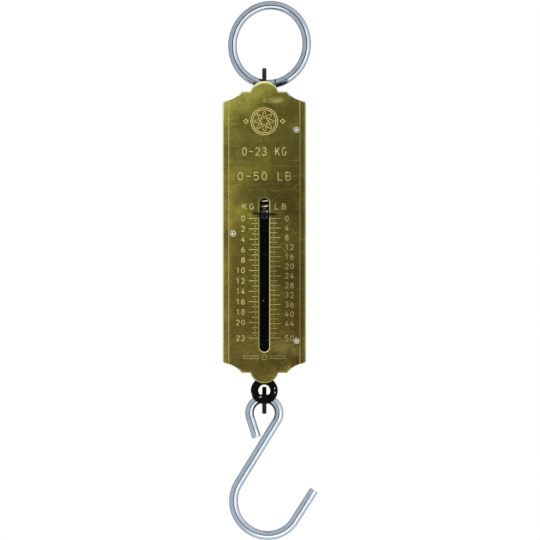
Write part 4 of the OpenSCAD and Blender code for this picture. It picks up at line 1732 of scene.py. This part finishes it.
def dress(made: bpy.types.Object, finish: Finish, slot: Slot, body: Body, node: str) -> None:
    """Gives a piece its finish and the body that it rides on, and hides its CAD node.

    Args:
        made: The piece.
        finish: Its finish.
        slot: The record's slot that the finish belongs to; not used.
        body: The body that it rides on.
        node: The CAD node that it stands for.
    """
    made.data.materials.clear()
    made.data.materials.append(finish.paint())
    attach(made, body.value)
    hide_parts(node)


@dataclass
class CadPieces:
    """The CAD nodes that keep their own shape and get a finish."""

    enamel: BlackFinish = BlackFinish()
    blackened: BlackFinish = BlackFinish(
        "blackened_steel", colour=(0.005, 0.005, 0.006), roughness=0.24, chips=0.72, shine=0.4
    )
    bar_enamel: BlackFinish = BlackFinish(
        "knocked_glinting_bar_enamel",
        chips=0.74,
        knocks=(
            # Painted highlight: bare steel at the lower edge of the bar's eye, standing for a glint; the
            # others are knocks and chips.
            Patch(-1.5, -177.0, 1.0, 0.5),
            Patch(-5.8, -176.0, 0.35, 0.9),
            Patch(4.7, -173.0, 0.35, 0.5),
            Patch(4.9, -174.9, 0.25, 0.4),
            Patch(-0.5, -132.9, 0.35, 0.35),
            Patch(1.5, -150.9, 0.3, 0.3),
            Patch(-0.8, -152.7, 0.6, 0.35),
            Patch(0.5, -112.0, 0.3, 0.25),
            Patch(0.3, -132.0, 0.2, 0.2),
        ),
    )
    dusty_black: BlackFinish = BlackFinish(
        "dusty_black_steel", roughness=0.24, chips=0.75, shine=0.06, dusty_below=-179.7
    )
    blued: TurnedSteel = TurnedSteel(
        "blued_steel", colour=(0.07, 0.08, 0.11), stain=(0.04, 0.04, 0.05), roughness=0.3
    )
    # The lower plug's core, inside the coil, is painted near black as shade.
    oiled_core: TurnedSteel = replace(
        blued,
        name="blued_steel_shaded_core",
        oiled_above=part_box("lower_plug")[1].z / MM - CoilSpring.core_h,
    )
    pin: TurnedSteel = TurnedSteel("turned_pin")

    def finishes(self) -> dict[str, tuple[Finish, Slot]]:
        """The finish and slot of each CAD node that stays in view.

        Returns:
            Both, by the name of the node.
        """
        return {
            "top_link": (self.blackened, Slot.BLACK_STEEL),
            "bottom_link": (self.dusty_black, Slot.BLACK_STEEL),
            "top_anchor": (self.blackened, Slot.BLACK_STEEL),
            "pointer": (self.blackened, Slot.BLACK_STEEL),
            "case_back": (self.enamel, Slot.BLACK_ENAMEL),
            "top_end_plate": (self.enamel, Slot.BLACK_ENAMEL),
            "bottom_end_plate": (self.enamel, Slot.BLACK_ENAMEL),
            "draw_bar": (self.bar_enamel, Slot.BLACK_ENAMEL),
            "upper_plug": (self.blued, Slot.PLUG_STEEL),
            "lower_plug": (self.oiled_core, Slot.PLUG_STEEL),
            "anchor_rivet": (self.pin, Slot.PIN_STEEL),
            "case_pin": (self.pin, Slot.PIN_STEEL),
            "bar_pin": (self.pin, Slot.PIN_STEEL),
        }

    def build(self) -> None:
        """Puts each finish on its CAD node."""
        for name, (finish, slot) in self.finishes().items():
            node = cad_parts[name]
            node.data.materials.clear()
            node.data.materials.append(finish.paint())
            LOG.info("finished %s", name)


# The studio


class Lamp(NamedTuple):
    """A soft rectangular lamp: its name, its place and size in metres, and its power in watts."""

    name: str
    place: Way
    size: Point
    power: float


class Panel(NamedTuple):
    """A soft round panel that gloss mirrors: the way to it, the span in which it fades, and its colour."""

    way: Way
    fade: Point
    colour: Colour


@dataclass
class Studio:
    """The pale floor, the light and the camera, with places in metres and the photograph's in pixels."""

    photo_px: int = 540
    mm_per_px: float = 0.4578
    zero_px: Point = (264.3, 10.3)
    camera_far: float = 8.0
    clip_end: float = 50.0
    sensor: float = 36.0
    floor_z: float = -0.62
    floor_r: float = 5.0
    floor_sides: int = 96
    floor_colour: Colour = (0.86, 0.86, 0.86)
    floor_roughness: float = 0.9
    floor_glow: float = 0.7
    lamps: tuple[Lamp, ...] = (
        Lamp("key_lamp", (-1.0, -1.1, 0.55), (0.5, 0.5), 9.0),
        Lamp("fill_lamp", (1.2, -1.0, 0.3), (0.8, 1.2), 4.0),
    )
    lamp_aim: Way = (0.0, 0.0, -0.12)
    room: Colour = (0.85, 0.85, 0.85)
    white: Colour = (1.0, 1.0, 1.0)
    # What gloss mirrors beside the scale: cool at one end of a slant and brighter at the other.
    side_slant: Way = (0.8, 0.0, -0.6)
    side_span: Point = (-0.7, 0.7)
    cool_side: Colour = (0.48, 0.55, 0.63)
    bright_side: Colour = (0.72, 0.82, 0.95)
    # The darker rim round the white that stands behind the scale, as shares of the way backwards.
    rim: Colour = (0.24, 0.27, 0.31)
    rim_span: Point = (0.25, 0.55)
    white_span: Point = (0.80, 0.97)
    # The panels to the right and in front, and the dark camera between them.
    panels: tuple[Panel, ...] = (
        Panel((0.60, -0.78, -0.12), (0.34, 0.46), (1.38, 1.42, 1.44)),
        Panel((0.12, -0.80, -0.58), (0.36, 0.50), (1.5, 1.5, 1.48)),
        Panel((0.04, -1.0, -0.05), (0.21, 0.29), (0.05, 0.05, 0.05)),
    )

    def camera(self) -> None:
        """Places the camera square in front, framed as the photograph is."""
        middle = self.photo_px / 2
        x = (middle - self.zero_px[0]) * self.mm_per_px * MM
        z = -(middle - self.zero_px[1]) * self.mm_per_px * MM
        width = self.photo_px * self.mm_per_px * MM
        data = bpy.data.cameras.new("camera")
        data.sensor_width = self.sensor
        data.lens = self.sensor * self.camera_far / width
        data.clip_end = self.clip_end
        camera = bpy.data.objects.new("camera", data)
        camera.location = (x, -self.camera_far, z)
        camera.rotation_euler = (math.pi / 2, 0, 0)
        bpy.context.scene.collection.objects.link(camera)
        bpy.context.scene.camera = camera

    def light(self, lamp: Lamp) -> None:
        """Adds a lamp that is aimed at the scale and that gloss doesn't mirror.

        Args:
            lamp: The lamp.
        """
        data = bpy.data.lights.new(lamp.name, "AREA")
        data.shape = "RECTANGLE"
        data.size, data.size_y = lamp.size
        data.energy = lamp.power
        placed = bpy.data.objects.new(lamp.name, data)
        placed.location = lamp.place
        aim = Vector(self.lamp_aim) - placed.location
        placed.rotation_euler = aim.to_track_quat("-Z", "Y").to_euler()
        placed.visible_glossy = False
        bpy.context.scene.collection.objects.link(placed)

    def floor(self) -> None:
        """Lays the pale floor well below the hanging hook."""
        turns = [2 * math.pi * i / self.floor_sides for i in range(self.floor_sides)]
        rim = [(self.floor_r * math.cos(t), self.floor_r * math.sin(t), self.floor_z) for t in turns]
        mesh = bpy.data.meshes.new("floor")
        mesh.from_pydata(rim, [], [tuple(range(self.floor_sides))])
        floor = bpy.data.objects.new("floor", mesh)
        bpy.context.scene.collection.objects.link(floor)
        floor.data.materials.append(self.floor_finish())
        floor.visible_glossy = False

    def floor_finish(self) -> bpy.types.Material:
        """Pale matt paint that glows to the camera alone, so that the shadow on it stays faint.

        Returns:
            The material.
        """
        material = bpy.data.materials.new("pale_floor")
        material.use_nodes = True
        n = Nodes(material.node_tree)
        surface = n.tree.nodes["Principled BSDF"]
        n.feed(surface.inputs["Base Color"], self.floor_colour)
        n.feed(surface.inputs["Roughness"], self.floor_roughness)
        rays = n.add("ShaderNodeLightPath")
        mixed = n.add("ShaderNodeMixShader")
        n.link(n.maths("MULTIPLY", rays.outputs["Is Camera Ray"], self.floor_glow), mixed.inputs[0])
        n.link(surface.outputs[0], mixed.inputs[1])
        n.link(n.add("ShaderNodeEmission").outputs[0], mixed.inputs[2])
        n.link(mixed.outputs[0], n.tree.nodes["Material Output"].inputs["Surface"])
        return material

    def room_light(self) -> None:
        """Sets the room: plain for matt surfaces, white for the camera, and panels for gloss."""
        world = bpy.data.worlds.new("room")
        bpy.context.scene.world = world
        world.use_nodes = True
        n = Nodes(world.node_tree)
        n.tree.nodes.clear()
        rays = n.add("ShaderNodeLightPath")
        colour = n.mix(rays.outputs["Is Glossy Ray"], self.room, self.mirrored(n))
        colour = n.mix(rays.outputs["Is Camera Ray"], colour, self.white)
        light = n.add("ShaderNodeBackground")
        n.link(colour, light.inputs["Color"])
        n.link(light.outputs[0], n.add("ShaderNodeOutputWorld").inputs["Surface"])

    def mirrored(self, n: Nodes) -> Socket:
        """The room that gloss mirrors.

        Args:
            n: The nodes of the world.

        Returns:
            Its colour in the way looked.
        """
        ways = n.add("ShaderNodeTexCoord").outputs["Generated"]
        parts = n.add("ShaderNodeSeparateXYZ")
        n.link(ways, parts.inputs[0])
        backwards = parts.outputs["Y"]
        slant = n.add("ShaderNodeVectorMath", operation="DOT_PRODUCT")
        n.link(ways, slant.inputs[0])
        slant.inputs[1].default_value = self.side_slant
        slanted = n.ramp(slant.outputs["Value"], *self.side_span)
        seen = n.mix(slanted, self.cool_side, self.bright_side)
        seen = n.mix(n.ramp(backwards, *self.rim_span), seen, self.rim)
        seen = n.mix(n.ramp(backwards, *self.white_span), seen, self.white)
        for panel in self.panels:
            off = n.add("ShaderNodeVectorMath", operation="DISTANCE")
            n.link(ways, off.inputs[0])
            off.inputs[1].default_value = Vector(panel.way).normalized()
            seen = n.mix(n.ramp(off.outputs["Value"], *panel.fade), panel.colour, seen)
        return seen

    def build(self) -> None:
        """Makes the camera, the floor and the light."""
        self.camera()
        self.floor()
        self.room_light()
        for lamp in self.lamps:
            self.light(lamp)
        bpy.context.scene.view_settings.view_transform = "Standard"


def main() -> None:
    """Builds the sub-assemblies in order and reports each piece."""
    logging.basicConfig(level=logging.INFO, format="%(name)s: %(message)s")
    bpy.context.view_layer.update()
    Studio().build()
    pieces = [
        HangingRing().build("ring_wire", "ring", Body.RING),
        LoadHook().build("hook_wire", "hook", Body.HOOK),
        FacePlate().build(),
        FaceRivets().build(),
        CoilSpring().build(),
    ]
    CadPieces().build()
    for piece in pieces:
        LOG.info("built %s with %d faces", piece.name, len(piece.data.polygons))


if __name__ == "__main__":
    main()
